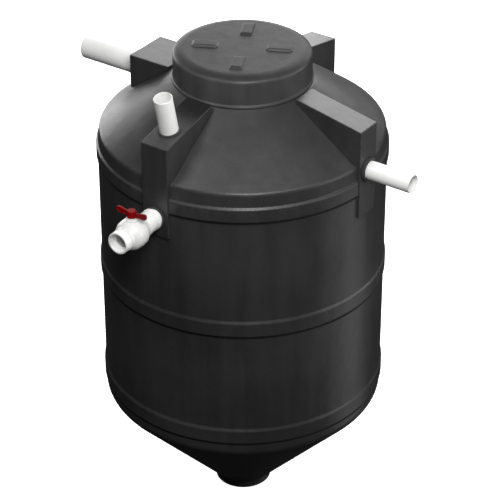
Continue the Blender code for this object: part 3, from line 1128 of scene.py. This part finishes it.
@dataclass(frozen=True)
class Housing:
    """A hollow box moulded on the shoulder; most run on down over the rim as a shallow pad."""

    name: str
    azimuth: float
    face: float
    half: float
    top: float
    slope: float
    low: float
    bore: Bore | None = None
    on_pad: bool = True
    # how dark the painted shade is on a flat top beside the lid
    lid_shade: float = 0.0
    end: float = 0.2820
    edge: float = 0.0036
    wall: float = 0.0060
    root: float = 1.7000
    pad_deep: float = 0.0400
    hollow_start: float = 0.0450
    hollow_low: float = 1.6000
    slot_start: float = 0.0470
    slot_narrower: float = 0.0020
    slot_shorter: float = 0.0150
    slot_end: float = 0.5420
    slot_heights: Point = (1.6200, 1.9500)
    pad_round: float = 0.0045
    fillet_top: float = 1.9250
    fillet_gap: float = 0.0020
    fillet_step: float = 0.0040
    profile_step: float = 0.0010
    fillet_depth: float = 1.15
    fillet_heights: tuple[float, ...] = (1.6200, 1.6900, 1.7400, 1.8700, 1.9050)
    fillet_radii: tuple[float, ...] = (0.0028, 0.0032, 0.0040, 0.0040, 0.0032)
    # painted shade in the fillets: how dark, from what height on the dome and over what rise it grows
    painted_shade: float = 0.7
    fillet_shade_from: float = 1.7000
    fillet_shade_over: float = 0.0300
    # the painted shade beside the lid starts inward of this distance and grows over that one
    lid_shade_from: float = 0.4700
    lid_shade_over: float = 0.1200

    def height(self, d: float) -> float:
        """The top's height at a distance from the tank's axis."""
        return self.top + (self.face - d) * self.slope

    def block(self) -> bpy.types.Object:
        """Makes the box's outside as a solid with rounded edges.

        Returns:
            The solid.
        """
        outline = [(self.end, self.root)]
        outline += [(float(d), self.height(float(d))) for d in np.linspace(self.end, self.face, ROOF_POINTS)]
        outline += [(self.face, self.low), (self.face - self.pad_deep, self.low)]
        made = Shape().prism(outline, self.half, self.azimuth).piece(self.name + "_box")
        round_edges(made, self.edge)
        return made

    def hollow(self) -> bpy.types.Object:
        """Makes a cutter for the box's inside.

        Returns:
            The cutter.
        """
        near, far = self.end + self.hollow_start, self.face - self.wall
        outline = [(near, self.hollow_low), (near, self.height(near) - self.wall)]
        outline += [(far, self.height(far) - self.wall), (far, self.hollow_low)]
        return Shape().prism(outline, self.half - self.wall, self.azimuth).piece(self.name + "_hollow")

    def slot(self) -> bpy.types.Object:
        """Makes a cutter for the way from the box down through the shoulder.

        Returns:
            The cutter.
        """
        near, far = self.end + self.slot_start, min(self.face - self.slot_shorter, self.slot_end)
        low, high = self.slot_heights
        outline = [(near, low), (near, high), (far, high), (far, low)]
        half = self.half - self.wall - self.slot_narrower
        return Shape().prism(outline, half, self.azimuth).piece(self.name + "_slot")

    def hole(self, inside: float = 0.05, outside: float = 0.03, spare: float = 0.0) -> bpy.types.Object:
        """Makes a cutter for the pipe's hole.

        Args:
            inside: how far it reaches in from the housing's face.
            outside: how far it reaches out.
            spare: how much wider than the bore it is, on the radius.

        Returns:
            The cutter.
        """
        axis = Route.straight(self.bore.origin, self.bore.direction)
        radius = self.bore.radius + spare
        outline = [(0.0, -inside), (radius, -inside), (radius, outside), (0.0, outside)]
        return Shape().turn(outline, axis, PIPE_STEPS, closed=False).piece(self.name + "_hole")

    def fillet_radius(self, z: float) -> float:
        """The fillet's radius: small on the pad and beside the lid, larger along the dome."""
        return float(np.interp(z, self.fillet_heights, self.fillet_radii))

    def contacts(self, profile: np.ndarray) -> list[Contact]:
        """Where a ball rolled round the box's foot touches the box and the tank.

        Args:
            profile: the tank's outer outline as rows of (r, z), about a millimetre apart.

        Returns:
            The contacts in order from one end of the box's outline to the other.
        """
        return self._pad_contacts(profile) if self.on_pad else self._box_contacts(profile)

    def _pad_contacts(self, profile: np.ndarray) -> list[Contact]:
        """Contacts along the pad's outline, seen from outside: down one side, across and up the other.

        Args:
            profile: the tank's outer outline as rows of (r, z).

        Returns:
            The contacts in that order.
        """
        outline = rounded(
            [
                Corner(self.half, self.fillet_top),
                Corner(self.half, self.low, self.pad_round),
                Corner(-self.half, self.low, self.pad_round),
                Corner(-self.half, self.fillet_top),
            ]
        )
        line = resampled(outline, self.fillet_step)
        found = []
        for (t, z), normal in zip(line, left_of(line)):
            radius = self.fillet_radius(z)
            tc, zc = t + radius * normal[0], z + radius * normal[1]
            near = profile[np.abs(profile[:, 1] - zc) < radius]
            if len(near) == 0:
                continue
            reach = near[:, 0] + np.sqrt(radius**2 - (zc - near[:, 1]) ** 2)
            best = int(np.argmax(reach))
            r = float(reach[best])
            d = math.sqrt(r * r - tc * tc)
            if d < self.end + self.fillet_gap:
                continue
            centre = at_azimuth(self.azimuth, d, tc, zc)
            wall = at_azimuth(self.azimuth, 0.0, normal[0], normal[1])
            found.append(self._contact(centre, radius, wall, (r - near[best, 0], zc - near[best, 1])))
        return found

    def _box_contacts(self, profile: np.ndarray) -> list[Contact]:
        """Contacts round the box's outline in plan, where all of it stands on the dome.

        Args:
            profile: the tank's outer outline as rows of (r, z).

        Returns:
            The contacts in order from the outline's left end to its right end.
        """
        outline = rounded(
            [
                Corner(self.end + self.fillet_gap, self.half),
                Corner(self.face, self.half, self.edge),
                Corner(self.face, -self.half, self.edge),
                Corner(self.end + self.fillet_gap, -self.half),
            ]
        )
        line = resampled(outline, self.fillet_step)
        found = []
        for (d, t), normal in zip(line, left_of(line)):
            level = float(np.interp(math.hypot(d, t), profile[:, 0], profile[:, 1]))
            radius = self.fillet_radius(level)
            dc, tc = d + radius * normal[0], t + radius * normal[1]
            r = math.hypot(dc, tc)
            near = profile[np.abs(profile[:, 0] - r) < radius]
            reach = near[:, 1] + np.sqrt(radius**2 - (r - near[:, 0]) ** 2)
            best = int(np.argmax(reach))
            high = float(reach[best])
            centre = at_azimuth(self.azimuth, dc, tc, high)
            wall = at_azimuth(self.azimuth, normal[0], normal[1], 0.0)
            found.append(self._contact(centre, radius, wall, (r - near[best, 0], high - near[best, 1])))
        return found

    @staticmethod
    def _contact(centre: Vector, radius: float, wall: Vector, away: Point) -> Contact:
        """Notes where one ball touches.

        Args:
            centre: the ball's centre.
            radius: its radius.
            wall: the housing's outward normal.
            away: how far out and up the centre lies from the point where the ball touches the tank.

        Returns:
            The contact.
        """
        out = Vector((centre.x, centre.y, 0.0)).normalized()
        touch = out * away[0] + Vector((0.0, 0.0, away[1]))
        return Contact(centre, radius, wall, touch.normalized())

    def fillet(self, shell: TankShell) -> bpy.types.Object:
        """Makes the strip of plastic that blends the box into the tank, darkened by a painted shade where it
        lies on the dome.

        Args:
            shell: the tank's shell.

        Returns:
            The strip.
        """
        profile = resampled(shell.outside()[1:], self.profile_step)
        rings = []
        for contact in self.contacts(profile):
            start, end = -contact.wall, -contact.tank
            ring = [
                contact.centre + (start * first + end * last) * contact.radius
                for first, last in arc_shares(start.angle(end), FILLET_STEPS)
            ]
            ring.append(contact.centre + (start + end) * (self.fillet_depth * contact.radius))
            rings.append(ring)
        strip = Shape().loft(rings).piece(self.name + "_fillet")
        # painted shade in the fillet, growing above a height on the dome
        above = points_of(strip)[:, 2] - self.fillet_shade_from
        store(strip, "shaded_crease", self.painted_shade * eased(above / self.fillet_shade_over))
        return strip

    def build(self, shell: TankShell, core: bpy.types.Object) -> None:
        """Builds and dresses the housing, hollow and let into the tank's wall.

        Args:
            shell: the tank's shell.
            core: the solid that trims what would stand inside the tank.
        """
        box = self.block()
        cutters = [self.hollow()]
        if self.bore:
            cutters.append(self.hole())
        carve(box, [core, *cutters])
        discard(cutters)
        strip = self.fillet(shell)
        both = [box, strip]
        with bpy.context.temp_override(
            active_object=box, object=box, selected_objects=both, selected_editable_objects=both
        ):
            bpy.ops.object.join()
        smooth(box)
        weighted = box.modifiers.new("flat_faces", "WEIGHTED_NORMAL")
        weighted.keep_sharp = True
        settled_mesh(box)
        # painted shade on the top beside the lid, growing towards the lid
        outward = np.array(at_azimuth(self.azimuth, 1.0, 0.0, 0.0))
        store(box, "lid_shade", self.lid_shade * eased((self.lid_shade_from - points_of(box) @ outward) / self.lid_shade_over))
        settle(box, TANK, Body.DIGESTER, self.name + "_housing")


@dataclass(frozen=True)
class Lid:
    """The lift-off cap: a shallow crown with four raised grips and a flared skirt."""

    r: float = 0.2700
    rim_z: float = 2.0246
    crown: float = 0.0165
    crown_dip: float = 0.0008
    crown_round: float = 0.0700
    rim_round: float = 0.0170
    rim_in: float = 0.0004
    brow: float = math.radians(36.1)
    skirt_z: float = 1.9145
    flare_root: Corner = Corner(0.2702, 1.9270, 0.006)
    flare: Corner = Corner(0.2760, 1.9215, 0.004)
    skirt_round: float = 0.0020
    thick: float = 0.0060
    mouth_wider: Point = (0.002, 0.001)
    mouth_round: float = 0.0010
    mouth_top: float = 1.9400
    ceiling_root: float = 2.0080
    ceiling_round: float = 0.0050
    ceiling_slope: Corner = Corner(0.2560, 2.0185)
    ceiling_r: float = 0.2150
    ceiling_thick: float = 0.0076
    turn_end: float = 89.0
    turn_step: float = 4.0
    grip_at: float = 0.1440
    grip_half: Point = (0.0540, 0.0260)
    grip_ramp: float = 2.0
    grip_high: float = 0.0095
    grip_sunk: float = 0.0012
    grip_lean: float = 0.0060
    grip_edge: float = 0.0060
    grip_corner: float = 0.0100
    grip_corner_range: Point = (-0.0040, 0.0060)
    grip_foot: float = 0.0060
    grip_flat: float = 0.0160
    grip_azimuth: float = 297.0
    grip_count: int = 4
    gasket_high: float = 0.0060
    gasket_round: float = 0.0026

    def cap(self) -> Shape:
        """Draws the cap without its grips.

        The crown's edge is drawn in even turns, flatter up to the brow and tighter past it.

        Returns:
            The cap's shape.
        """
        top = self.rim_z + self.crown
        inner = self.r - self.thick
        turns = np.radians(np.arange(0.0, self.turn_end, self.turn_step))
        bends = np.where(turns[1:] <= self.brow, self.crown_round, self.rim_round)
        out = np.concatenate([[0.0], np.cumsum(bends * np.diff(np.sin(turns)))])
        down = np.concatenate([[0.0], np.cumsum(bends * np.diff(np.cos(turns)))])
        start, high = self.r - self.rim_in - out[-1], top - self.crown_dip
        line = [
            Corner(0.0, top),
            *(Corner(float(start + x), float(high + z)) for x, z in zip(out, down)),
            self.flare_root,
            self.flare,
            Corner(self.flare.x, self.skirt_z, self.skirt_round),
            Corner(inner + self.mouth_wider[0], self.skirt_z, self.mouth_round),
            Corner(inner + self.mouth_wider[1], self.mouth_top),
            Corner(inner, self.ceiling_root, self.ceiling_round),
            self.ceiling_slope,
            Corner(self.ceiling_r, top - self.ceiling_thick),
            Corner(0.0, top - self.thick),
        ]
        return Shape().turn(rounded(line), UP, TANK_STEPS, closed=False)

    def grip_levels(self) -> list[Point]:
        """Draws a grip's side, from its foot on the crown to its flat top.

        Returns:
            How far each level stands in from the foot, and its height.
        """
        root, edge = Corner(0.0, 0.0, self.grip_edge), Corner(self.grip_lean, self.grip_high, self.grip_edge)
        foot = rounded([Corner(-self.grip_foot, 0.0), root, edge])
        crest = rounded([root, edge, Corner(self.grip_flat, self.grip_high)])
        return [*foot[:-1], *crest[1:]]

    def grip(self, azimuth: float) -> list[list[Vector]]:
        """Draws one grip.

        Args:
            azimuth: the azimuth that it runs along.

        Returns:
            Its rings, from its foot to its top.
        """
        base = self.rim_z + self.crown - self.grip_sunk
        rings = []
        for stand_in, height in self.grip_levels():
            long, wide = self.grip_half[0] - stand_in * self.grip_ramp, self.grip_half[1] - stand_in
            low, high = self.grip_corner_range
            corner = self.grip_corner - min(high, max(low, stand_in))
            outline = rounded(
                [
                    Corner(long, wide, corner),
                    Corner(-long, wide, corner),
                    Corner(-long, -wide, corner),
                    Corner(long, -wide, corner),
                ],
                closed=True,
            )
            rings.append([at_azimuth(azimuth, self.grip_at + x, y, base + height) for x, y in outline])
        return rings

    def build(self) -> None:
        """Builds and dresses the lid."""
        shape = self.cap()
        for k in range(self.grip_count):
            shape.loft(self.grip(self.grip_azimuth + k * 360.0 / self.grip_count))
        settle(shape.piece("lid_cap"), LID_TOP, Body.LID, "lid")

    def build_gasket(self, shell: TankShell) -> None:
        """Builds and dresses the rubber ring on the neck.

        Args:
            shell: the tank's shell, which has the neck.
        """
        outer, low = shell.neck_r, shell.neck_top + CLEAR
        inner, high = outer - shell.wall, shell.neck_top + self.gasket_high
        line = [
            Corner(outer, low),
            Corner(inner, low),
            Corner(inner, high, self.gasket_round),
            Corner(outer, high, self.gasket_round),
        ]
        ring = Shape().turn(rounded(line, closed=True), UP, TANK_STEPS).piece("neck_gasket")
        settle(ring, SEAL, Body.DIGESTER, "lid_gasket")


@dataclass(frozen=True)
class PipeRun:
    """A PVC pipe along a route, open at both ends, with the seal where it passes a wall."""

    name: str
    azimuth: float
    corners: tuple[Corner, ...]
    r: float
    wall: float
    seal_at: Vector
    seal_out: Vector
    seal_depth: float
    lip: float = 0.0045
    lip_round: float = 0.0008
    flange: float = 0.0075
    flange_fall: float = 0.0002
    flange_round: float = 0.0025
    foot_round: float = 0.0006
    proud: float = 0.0062
    chamfer: float = 0.0008
    end_band: float = 0.0060

    def build_pipe(self) -> None:
        """Builds and dresses the pipe."""
        route = Route.upright(self.corners, self.azimuth)
        inner = self.r - self.wall
        length = route.stations[-1]
        edge, band = self.chamfer, self.end_band
        outline = [(inner, edge), (inner + edge, 0.0), (self.r - edge, 0.0), (self.r, edge)]
        middle = [s for s in route.stations if 2 * band < s < length - 2 * band]
        outline += [(self.r, s) for s in (band, *middle, length - band)]
        outline += [(self.r, length - edge), (self.r - edge, length)]
        outline += [(inner + edge, length), (inner, length - edge)]
        outline += [(inner, s) for s in (length - band, *middle[::-1], band)]
        pipe = Shape().turn(outline, route, PIPE_STEPS).piece(self.name + "_pvc")
        settle(pipe, PIPE, Body.DIGESTER, self.name + "_pipe")

    def build_seal(self) -> None:
        """Builds and dresses the rubber grommet in the wall."""
        inner = self.r + CLEAR
        sleeve, flange = inner + self.lip, inner + self.flange
        line = [
            Corner(inner, self.proud, self.lip_round),
            Corner(flange, self.proud - self.flange_fall, self.flange_round),
            Corner(flange, CLEAR, self.foot_round),
            Corner(sleeve, CLEAR),
            Corner(sleeve, -self.seal_depth),
            Corner(inner, -self.seal_depth),
        ]
        axis = Route.straight(self.seal_at, self.seal_out)
        ring = Shape().turn(rounded(line, closed=True), axis, PIPE_STEPS).piece(self.name + "_grommet")
        settle(ring, SEAL, Body.DIGESTER, self.name + "_seal")

    def build(self) -> None:
        """Builds the pipe and its seal."""
        self.build_pipe()
        self.build_seal()


@dataclass(frozen=True)
class BallValve:
    """The sludge valve: a moulded body with two glued sockets, a ball on a stem and a butterfly handle."""

    centre: Vector
    port_r: float = 0.0290
    casing: tuple[Corner, ...] = (
        Corner(0.0450, 0.0585, 0.001),
        Corner(0.0458, 0.0455, 0.005),
        Corner(0.0530, 0.0375, 0.006),
        Corner(0.0594, 0.0235, 0.014),
        Corner(0.0610, 0.0070, 0.020),
    )
    bonnet: tuple[Corner, ...] = (
        Corner(0.0240, 0.0540),
        Corner(0.0240, 0.0625, 0.002),
        Corner(0.0205, 0.0645, 0.001),
        Corner(0.0205, 0.0700, 0.0015),
    )
    ball_r: float = 0.0440
    ball_gap: float = 0.0025
    bit_longer: float = 0.0100
    cavity_half: float = 0.0340
    stem_r: float = 0.0090
    joint: float = 0.0585
    socket_r: float = 0.0366
    socket_far: Point = (0.0920, 0.1240)
    socket_ring: tuple[Corner, ...] = (
        Corner(0.0435, 0.0, 0.0015),
        Corner(0.0445, 0.0030, 0.002),
        Corner(0.0445, 0.0080, 0.002),
        Corner(0.0424, 0.0105, 0.0015),
    )
    socket_end: tuple[Corner, ...] = (
        Corner(0.0420, 0.0120, 0.0015),
        Corner(0.0436, 0.0095, 0.0015),
        Corner(0.0436, 0.0, 0.0022),
    )
    socket_lead: Point = (0.0004, 0.0030)
    socket_lead_round: float = 0.0010
    socket_stop: Point = (0.0060, 0.0055)
    stem_down: float = 0.0060
    stem_round: float = 0.0010
    hub_foot: Corner = Corner(0.0205, 0.0745, 0.001)
    hub_top: Corner = Corner(0.0165, 0.0990, 0.0035)
    hub_thick: float = 0.0057
    wing: tuple[Corner, ...] = (
        Corner(0.0120, 0.0745),
        Corner(0.0580, 0.0745, 0.010),
        Corner(0.0680, 0.0815, 0.006),
        Corner(0.0660, 0.0980, 0.006),
        Corner(0.0540, 0.0985, 0.008),
        Corner(0.0220, 0.0925, 0.010),
    )
    wing_half: float = 0.0048
    wing_border: tuple[Point, ...] = (
        (0.0012, 0.0046),
        (0.0012, 0.0036),
        (0.0, 0.0028),
        (0.0, 0.0014),
        (0.0006, 0.0004),
        (0.0016, 0.0),
    )

    @property
    def line(self) -> Route:
        """The valve's own axis, outwards from its middle."""
        return Route.straight(self.centre, Vector((0.0, -1.0, 0.0)))

    @property
    def post(self) -> Route:
        """The stem's axis, up from the valve's middle."""
        return Route.straight(self.centre, Vector((0.0, 0.0, 1.0)))

    def body(self) -> bpy.types.Object:
        """Makes the bulbous body with its bonnet.

        Returns:
            The body.
        """
        line = [Corner(self.port_r + SLACK, self.joint), *self.casing]
        line += [Corner(c.x, -c.y, c.radius) for c in line[::-1]]
        cavity, half = self.ball_r + self.ball_gap, self.cavity_half
        outline = rounded(line)
        outline += [(math.sqrt(cavity**2 - s**2), s) for s in np.linspace(-half, half, CAVITY_POINTS)]
        made = Shape().turn(outline, self.line, PIPE_STEPS)
        hole = self.stem_r + SLACK
        bonnet = [Corner(hole, self.bonnet[0].y), *self.bonnet, Corner(hole, self.bonnet[-1].y)]
        made.turn(rounded(bonnet, closed=True), self.post, PIPE_STEPS)
        return made.piece("valve_casing")

    def socket(self, name: str, side: float, far: float) -> bpy.types.Object:
        """A glued socket, with a raised ring at the body and a rounded lip at its end.

        Args:
            name: the piece's name.
            side: 1 for the outer socket and -1 for the one on the tank's side.
            far: how far its end is from the valve's middle.

        Returns:
            The socket.
        """
        start = self.joint + CLEAR
        lead, lead_deep = self.socket_lead
        stop, port_end = self.socket_stop
        line = [
            Corner(self.port_r, start),
            *(Corner(c.x, start + c.y, c.radius) for c in self.socket_ring),
            *(Corner(c.x, far - c.y, c.radius) for c in self.socket_end),
            Corner(self.socket_r + lead, far, self.socket_lead_round),
            Corner(self.socket_r, far - lead_deep, self.socket_lead_round),
            Corner(self.socket_r, start + stop),
            Corner(self.port_r, start + port_end),
        ]
        outline = [(r, side * s) for r, s in rounded(line, closed=True)]
        return Shape().turn(outline, self.line, PIPE_STEPS).piece(name)

    def ball(self) -> bpy.types.Object:
        """Makes the ball, whose bore lies across the pipe while the valve is shut.

        Returns:
            The ball.
        """
        angles = np.linspace(-math.pi / 2, math.pi / 2, BALL_POINTS)
        outline = [(self.ball_r * math.cos(a), self.ball_r * math.sin(a)) for a in angles]
        made = Shape().turn(outline, self.post, PIPE_STEPS, closed=False).piece("ball")
        axis = Route.straight(self.centre, Vector((1.0, 0.0, 0.0)))
        reach = self.ball_r + self.bit_longer
        drill = [(0.0, -reach), (self.port_r, -reach), (self.port_r, reach), (0.0, reach)]
        bit = Shape().turn(drill, axis, PIPE_STEPS, closed=False).piece("ball_bit")
        carve(made, [bit])
        discard([bit])
        return made

    def stem(self) -> bpy.types.Object:
        """Makes the stem between the ball and the handle.

        Returns:
            The stem.
        """
        low, high = self.ball_r + CLEAR, self.hub_top.y - self.stem_down
        line = [
            Corner(0.0, high),
            Corner(self.stem_r, high, self.stem_round),
            Corner(self.stem_r, low),
            Corner(0.0, low),
        ]
        return Shape().turn(rounded(line), self.post, PIPE_STEPS, closed=False).piece("stem")

    def wings(self) -> list[Point]:
        """Draws the handle from the side: two wings that dip beside the hub.

        Returns:
            The closed outline, in (x, z) from the valve's middle.
        """
        other = (Corner(-c.x, c.y, c.radius) for c in self.wing[::-1])
        return rounded([*self.wing, *other], closed=True)

    def handle(self) -> bpy.types.Object:
        """Makes the butterfly handle: a hub and two upright wings with rounded edges and a raised border.

        Returns:
            The handle.
        """
        shape = Shape()
        roof = self.hub_top.y - self.hub_thick
        hub = [
            Corner(self.stem_r + CLEAR, self.hub_foot.y),
            self.hub_foot,
            self.hub_top,
            Corner(0.0, self.hub_top.y),
            Corner(0.0, roof),
            Corner(self.stem_r + CLEAR, roof),
        ]
        shape.turn(rounded(hub, closed=True), self.post, PIPE_STEPS)
        outline = self.wings()
        wide = self.wing_half
        levels = [(-wide + sunk, depth) for sunk, depth in self.wing_border]
        levels += [(-y, depth) for y, depth in levels[::-1]]
        rings = []
        for y, depth in levels:
            line = inset(outline, -depth, closed=True)
            rings.append([self.centre + Vector((x, y, z)) for x, z in line])
        shape.loft(rings)
        return shape.piece("butterfly")

    def build(self) -> None:
        """Builds and dresses the valve."""
        settle(self.body(), VALVE, Body.DIGESTER, "valve_body")
        outer, inner = self.socket_far
        settle(self.socket("socket_inner", -1.0, inner), PIPE, Body.DIGESTER, "valve_collar_inner")
        settle(self.socket("socket_outer", 1.0, outer), PIPE, Body.DIGESTER, "valve_collar_outer")
        settle(self.ball(), PIPE, Body.VALVE, "valve_ball")
        settle(self.stem(), PIPE, Body.VALVE, "valve_stem")
        settle(self.handle(), HANDLE, Body.VALVE, "valve_handle")


@dataclass(frozen=True)
class Softbox:
    """A rectangular lamp that looks at the tank's middle from a bearing and a rise."""

    name: str
    bearing: float
    rise: float
    power: float
    wide: float = 2.4
    tall: float = 1.8


@dataclass(frozen=True)
class Studio:
    """The floor, the lamps, the plain surroundings and the camera."""

    middle: Vector
    lamps_away: float = 5.0
    floor_half: float = 60.0
    floor_waves: float = 3.0
    floor_rough: float = 0.9
    floor_glow: float = 0.97
    floor_shades: tuple[Colour, Colour] = ((0.86, 0.86, 0.86), (0.90, 0.90, 0.90))
    surround: float = 0.02
    azimuth: float = 34.8
    pitch: float = 0.5556
    distance: float = 8.8497
    aim_z: float = 1.12315
    swing: float = 0.0038
    lens: float = 157.4
    sensor: float = 36.0
    sight: float = 200.0

    def softboxes(self) -> list[Softbox]:
        """Lists the lamps: a soft wall of light behind the tank, a key in front and weaker ones round it.

        Returns:
            The lamps, with their power in watts.
        """
        return [
            Softbox("back_low_right", 130.0, 10.0, 74.0),
            Softbox("back_low_left", 160.0, 10.0, 74.0),
            Softbox("back_right", 100.0, 30.0, 66.0),
            Softbox("back_middle", 130.0, 30.0, 49.0),
            Softbox("back_left", 160.0, 30.0, 20.0),
            Softbox("back_high", 105.0, 50.0, 102.0),
            Softbox("top_right", 345.0, 52.0, 38.0),
            Softbox("top_front", 310.0, 72.0, 14.0),
            Softbox("key", 310.0, 47.0, 140.0, wide=1.4, tall=1.4),
            Softbox("front", 303.0, 20.0, 8.0, wide=3.0, tall=1.0),
            Softbox("left", 240.0, 60.0, 50.0, wide=1.6, tall=1.6),
            Softbox("right", 12.0, 26.0, 30.0, wide=1.6, tall=2.4),
            Softbox("right_low", 20.0, 5.0, 28.0),
            Softbox("right_side", 40.0, 12.0, 55.0),
            Softbox("right_floor", 36.0, -30.0, 14.0),
        ]

    def lamp(self, box: Softbox) -> None:
        """Hangs one softbox.

        Args:
            box: the softbox.
        """
        data = bpy.data.lights.new(box.name, "AREA")
        data.shape = "RECTANGLE"
        data.size, data.size_y = box.wide, box.tall
        data.energy = box.power
        lamp = bpy.data.objects.new(box.name, data)
        rise = math.radians(box.rise)
        away = at_azimuth(box.bearing, math.cos(rise), 0.0, math.sin(rise))
        lamp.location = self.middle + away * self.lamps_away
        lamp.rotation_euler = away.to_track_quat("Z", "Y").to_euler()
        lamp.visible_camera = False
        bpy.context.scene.collection.objects.link(lamp)

    def floor(self) -> None:
        """Lays the floor, which glows as pale as its surroundings and is clear from below."""
        half = self.floor_half
        mesh = bpy.data.meshes.new("floor")
        corners = [(-half, -half, 0), (half, -half, 0), (half, half, 0), (-half, half, 0)]
        mesh.from_pydata(corners, [], [(0, 1, 2, 3)])
        ground = bpy.data.objects.new("floor", mesh)
        bpy.context.scene.collection.objects.link(ground)
        ground.visible_diffuse = False
        ground.visible_glossy = False
        ground.visible_shadow = False
        graph = Graph("pale_floor")
        grain = graph.noise(self.floor_waves, detail=3.0)
        shade = graph.mix(grain, *self.floor_shades)
        from_below = graph.node("ShaderNodeNewGeometry", output="Backfacing")
        mesh.materials.append(
            graph.close(
                {
                    "Base Color": shade,
                    "Roughness": self.floor_rough,
                    "Emission Color": (1.0, 1.0, 1.0, 1.0),
                    "Emission Strength": self.floor_glow,
                    "Alpha": 1.0 - from_below,
                }
            )
        )

    def surroundings(self) -> None:
        """Sets a white backdrop that lights the tank only weakly."""
        world = bpy.data.worlds.new("studio")
        world.use_nodes = True
        tree = world.node_tree
        tree.nodes.clear()
        seen = tree.nodes.new("ShaderNodeLightPath")
        strength = tree.nodes.new("ShaderNodeMix")
        strength.inputs["A"].default_value = self.surround
        strength.inputs["B"].default_value = 1.0
        glow = tree.nodes.new("ShaderNodeBackground")
        output = tree.nodes.new("ShaderNodeOutputWorld")
        tree.links.new(seen.outputs["Is Camera Ray"], strength.inputs["Factor"])
        tree.links.new(strength.outputs["Result"], glow.inputs["Strength"])
        tree.links.new(glow.outputs["Background"], output.inputs["Surface"])
        bpy.context.scene.world = world

    def camera(self) -> None:
        """Sets the camera at the photograph's viewing angle."""
        data = bpy.data.cameras.new("camera")
        data.lens = self.lens
        data.sensor_width = self.sensor
        data.clip_end = self.sight
        camera = bpy.data.objects.new("camera", data)
        turn = math.radians(self.azimuth)
        level = self.distance * math.cos(self.pitch)
        rise = self.aim_z + self.distance * math.sin(self.pitch)
        camera.location = (level * math.sin(turn), -level * math.cos(turn), rise)
        camera.rotation_euler = (math.pi / 2 - self.pitch, 0.0, turn - self.swing)
        bpy.context.scene.collection.objects.link(camera)
        bpy.context.scene.camera = camera

    def build(self) -> None:
        """Sets the whole stage."""
        self.floor()
        for box in self.softboxes():
            self.lamp(box)
        self.surroundings()
        self.camera()
        bpy.context.scene.view_settings.view_transform = "Standard"
        LOG.info("studio set with %d lamps", len(self.softboxes()))


def pipe_runs() -> dict[str, PipeRun]:
    """Lays out the four pipes, with their ends taken from the CAD nodes' boxes.

    Returns:
        The pipes by name.
    """
    inlet_low, inlet_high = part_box("inlet_pipe")
    outlet_low, outlet_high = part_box("outlet_pipe")
    sludge_low, sludge_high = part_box("sludge_pipe")
    inlet_r, outlet_r, sludge_r, cleanout_r = 0.0510, 0.0367, 0.0363, 0.0360
    inlet_z, outlet_z = inlet_high.z - inlet_r, outlet_high.z - outlet_r
    sludge_z = sludge_high.z - sludge_r
    mouth, lean, fall, end_z = Corner(0.5130, 2.0400), 0.2377, 1.74, 0.3000
    return {
        "inlet": PipeRun(
            "inlet",
            azimuth=180.0,
            corners=(
                Corner(-inlet_low.x, inlet_z),
                Corner(0.30, inlet_z, 0.08),
                Corner(0.30, inlet_low.z),
            ),
            r=inlet_r,
            wall=0.0035,
            seal_at=at_azimuth(180.0, INLET_FACE, 0.0, inlet_z),
            seal_out=Vector((-1.0, 0.0, 0.0)),
            seal_depth=0.0060,
        ),
        "outlet": PipeRun(
            "outlet",
            azimuth=0.0,
            corners=(
                Corner(outlet_high.x, outlet_z),
                Corner(0.47, outlet_z, 0.06),
                Corner(0.47, outlet_low.z),
            ),
            r=outlet_r,
            wall=0.0030,
            seal_at=at_azimuth(0.0, PAD_FACE, 0.0, outlet_z),
            seal_out=Vector((1.0, 0.0, 0.0)),
            seal_depth=0.0220,
            flange=0.0105,
            proud=0.0110,
        ),
        "sludge": PipeRun(
            "sludge",
            azimuth=270.0,
            corners=(
                Corner(-sludge_low.y, sludge_z),
                Corner(0.485, sludge_z, 0.06),
                Corner(0.485, 0.740, 0.06),
                Corner(0.220, 0.360),
            ),
            r=sludge_r,
            wall=0.0030,
            seal_at=at_azimuth(270.0, PAD_FACE, 0.0, sludge_z),
            seal_out=Vector((0.0, -1.0, 0.0)),
            seal_depth=0.0110,
        ),
        "cleanout": PipeRun(
            "cleanout",
            azimuth=270.0,
            corners=(mouth, Corner(mouth.x - lean * fall, end_z)),
            r=cleanout_r,
            wall=0.0030,
            seal_at=at_azimuth(270.0, 0.4770, 0.0, 1.8886),
            seal_out=at_azimuth(270.0, lean, 0.0, 1.0),
            seal_depth=0.0060,
        ),
    }


def housings(pipes: dict[str, PipeRun]) -> list[Housing]:
    """Lays out the four housings, with bores in the three that a pipe passes through.

    Args:
        pipes: the pipes by name.

    Returns:
        The outlet's, rear, inlet's and sludge housings.
    """
    bores = {}
    for name, pipe in pipes.items():
        bores[name] = Bore(pipe.seal_at, pipe.seal_out, pipe.r + CLEAR + pipe.lip + CLEAR)
    return [
        Housing(
            "outlet",
            azimuth=0.0,
            face=PAD_FACE,
            half=0.0562,
            top=1.8650,
            slope=0.190,
            low=1.4940,
            bore=bores["outlet"],
        ),
        Housing(
            "rear",
            azimuth=90.0,
            face=PAD_FACE,
            half=0.0580,
            top=1.8570,
            slope=0.190,
            low=1.4900,
        ),
        Housing(
            "inlet",
            azimuth=180.0,
            face=INLET_FACE,
            half=0.1015,
            top=1.9120,
            slope=0.0,
            low=1.6900,
            bore=bores["inlet"],
            on_pad=False,
            hollow_start=0.0300,
            slot_start=0.0330,
        ),
        Housing(
            "sludge",
            azimuth=270.0,
            face=PAD_FACE,
            half=0.0596,
            top=1.8670,
            slope=0.2105,
            low=1.4820,
            bore=bores["sludge"],
            lid_shade=0.9,
        ),
    ]


def main() -> None:
    """Builds the digester and its stage."""
    logging.basicConfig(level=logging.INFO, format="%(name)s %(message)s")
    low, high = CAD_BOX
    studio = Studio((low + high) / 2)
    studio.build()
    shell = TankShell()
    pipes = pipe_runs()
    boxes = housings(pipes)
    shell.build(boxes)
    core = shell.core(CORE_DEPTH)
    for housing in boxes:
        housing.build(shell, core)
    discard([core])
    lid = Lid()
    lid.build()
    lid.build_gasket(shell)
    for pipe in pipes.values():
        pipe.build()
    ball_low, ball_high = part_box("valve_ball")
    BallValve((ball_low + ball_high) / 2).build()


if __name__ == "__main__":
    main()
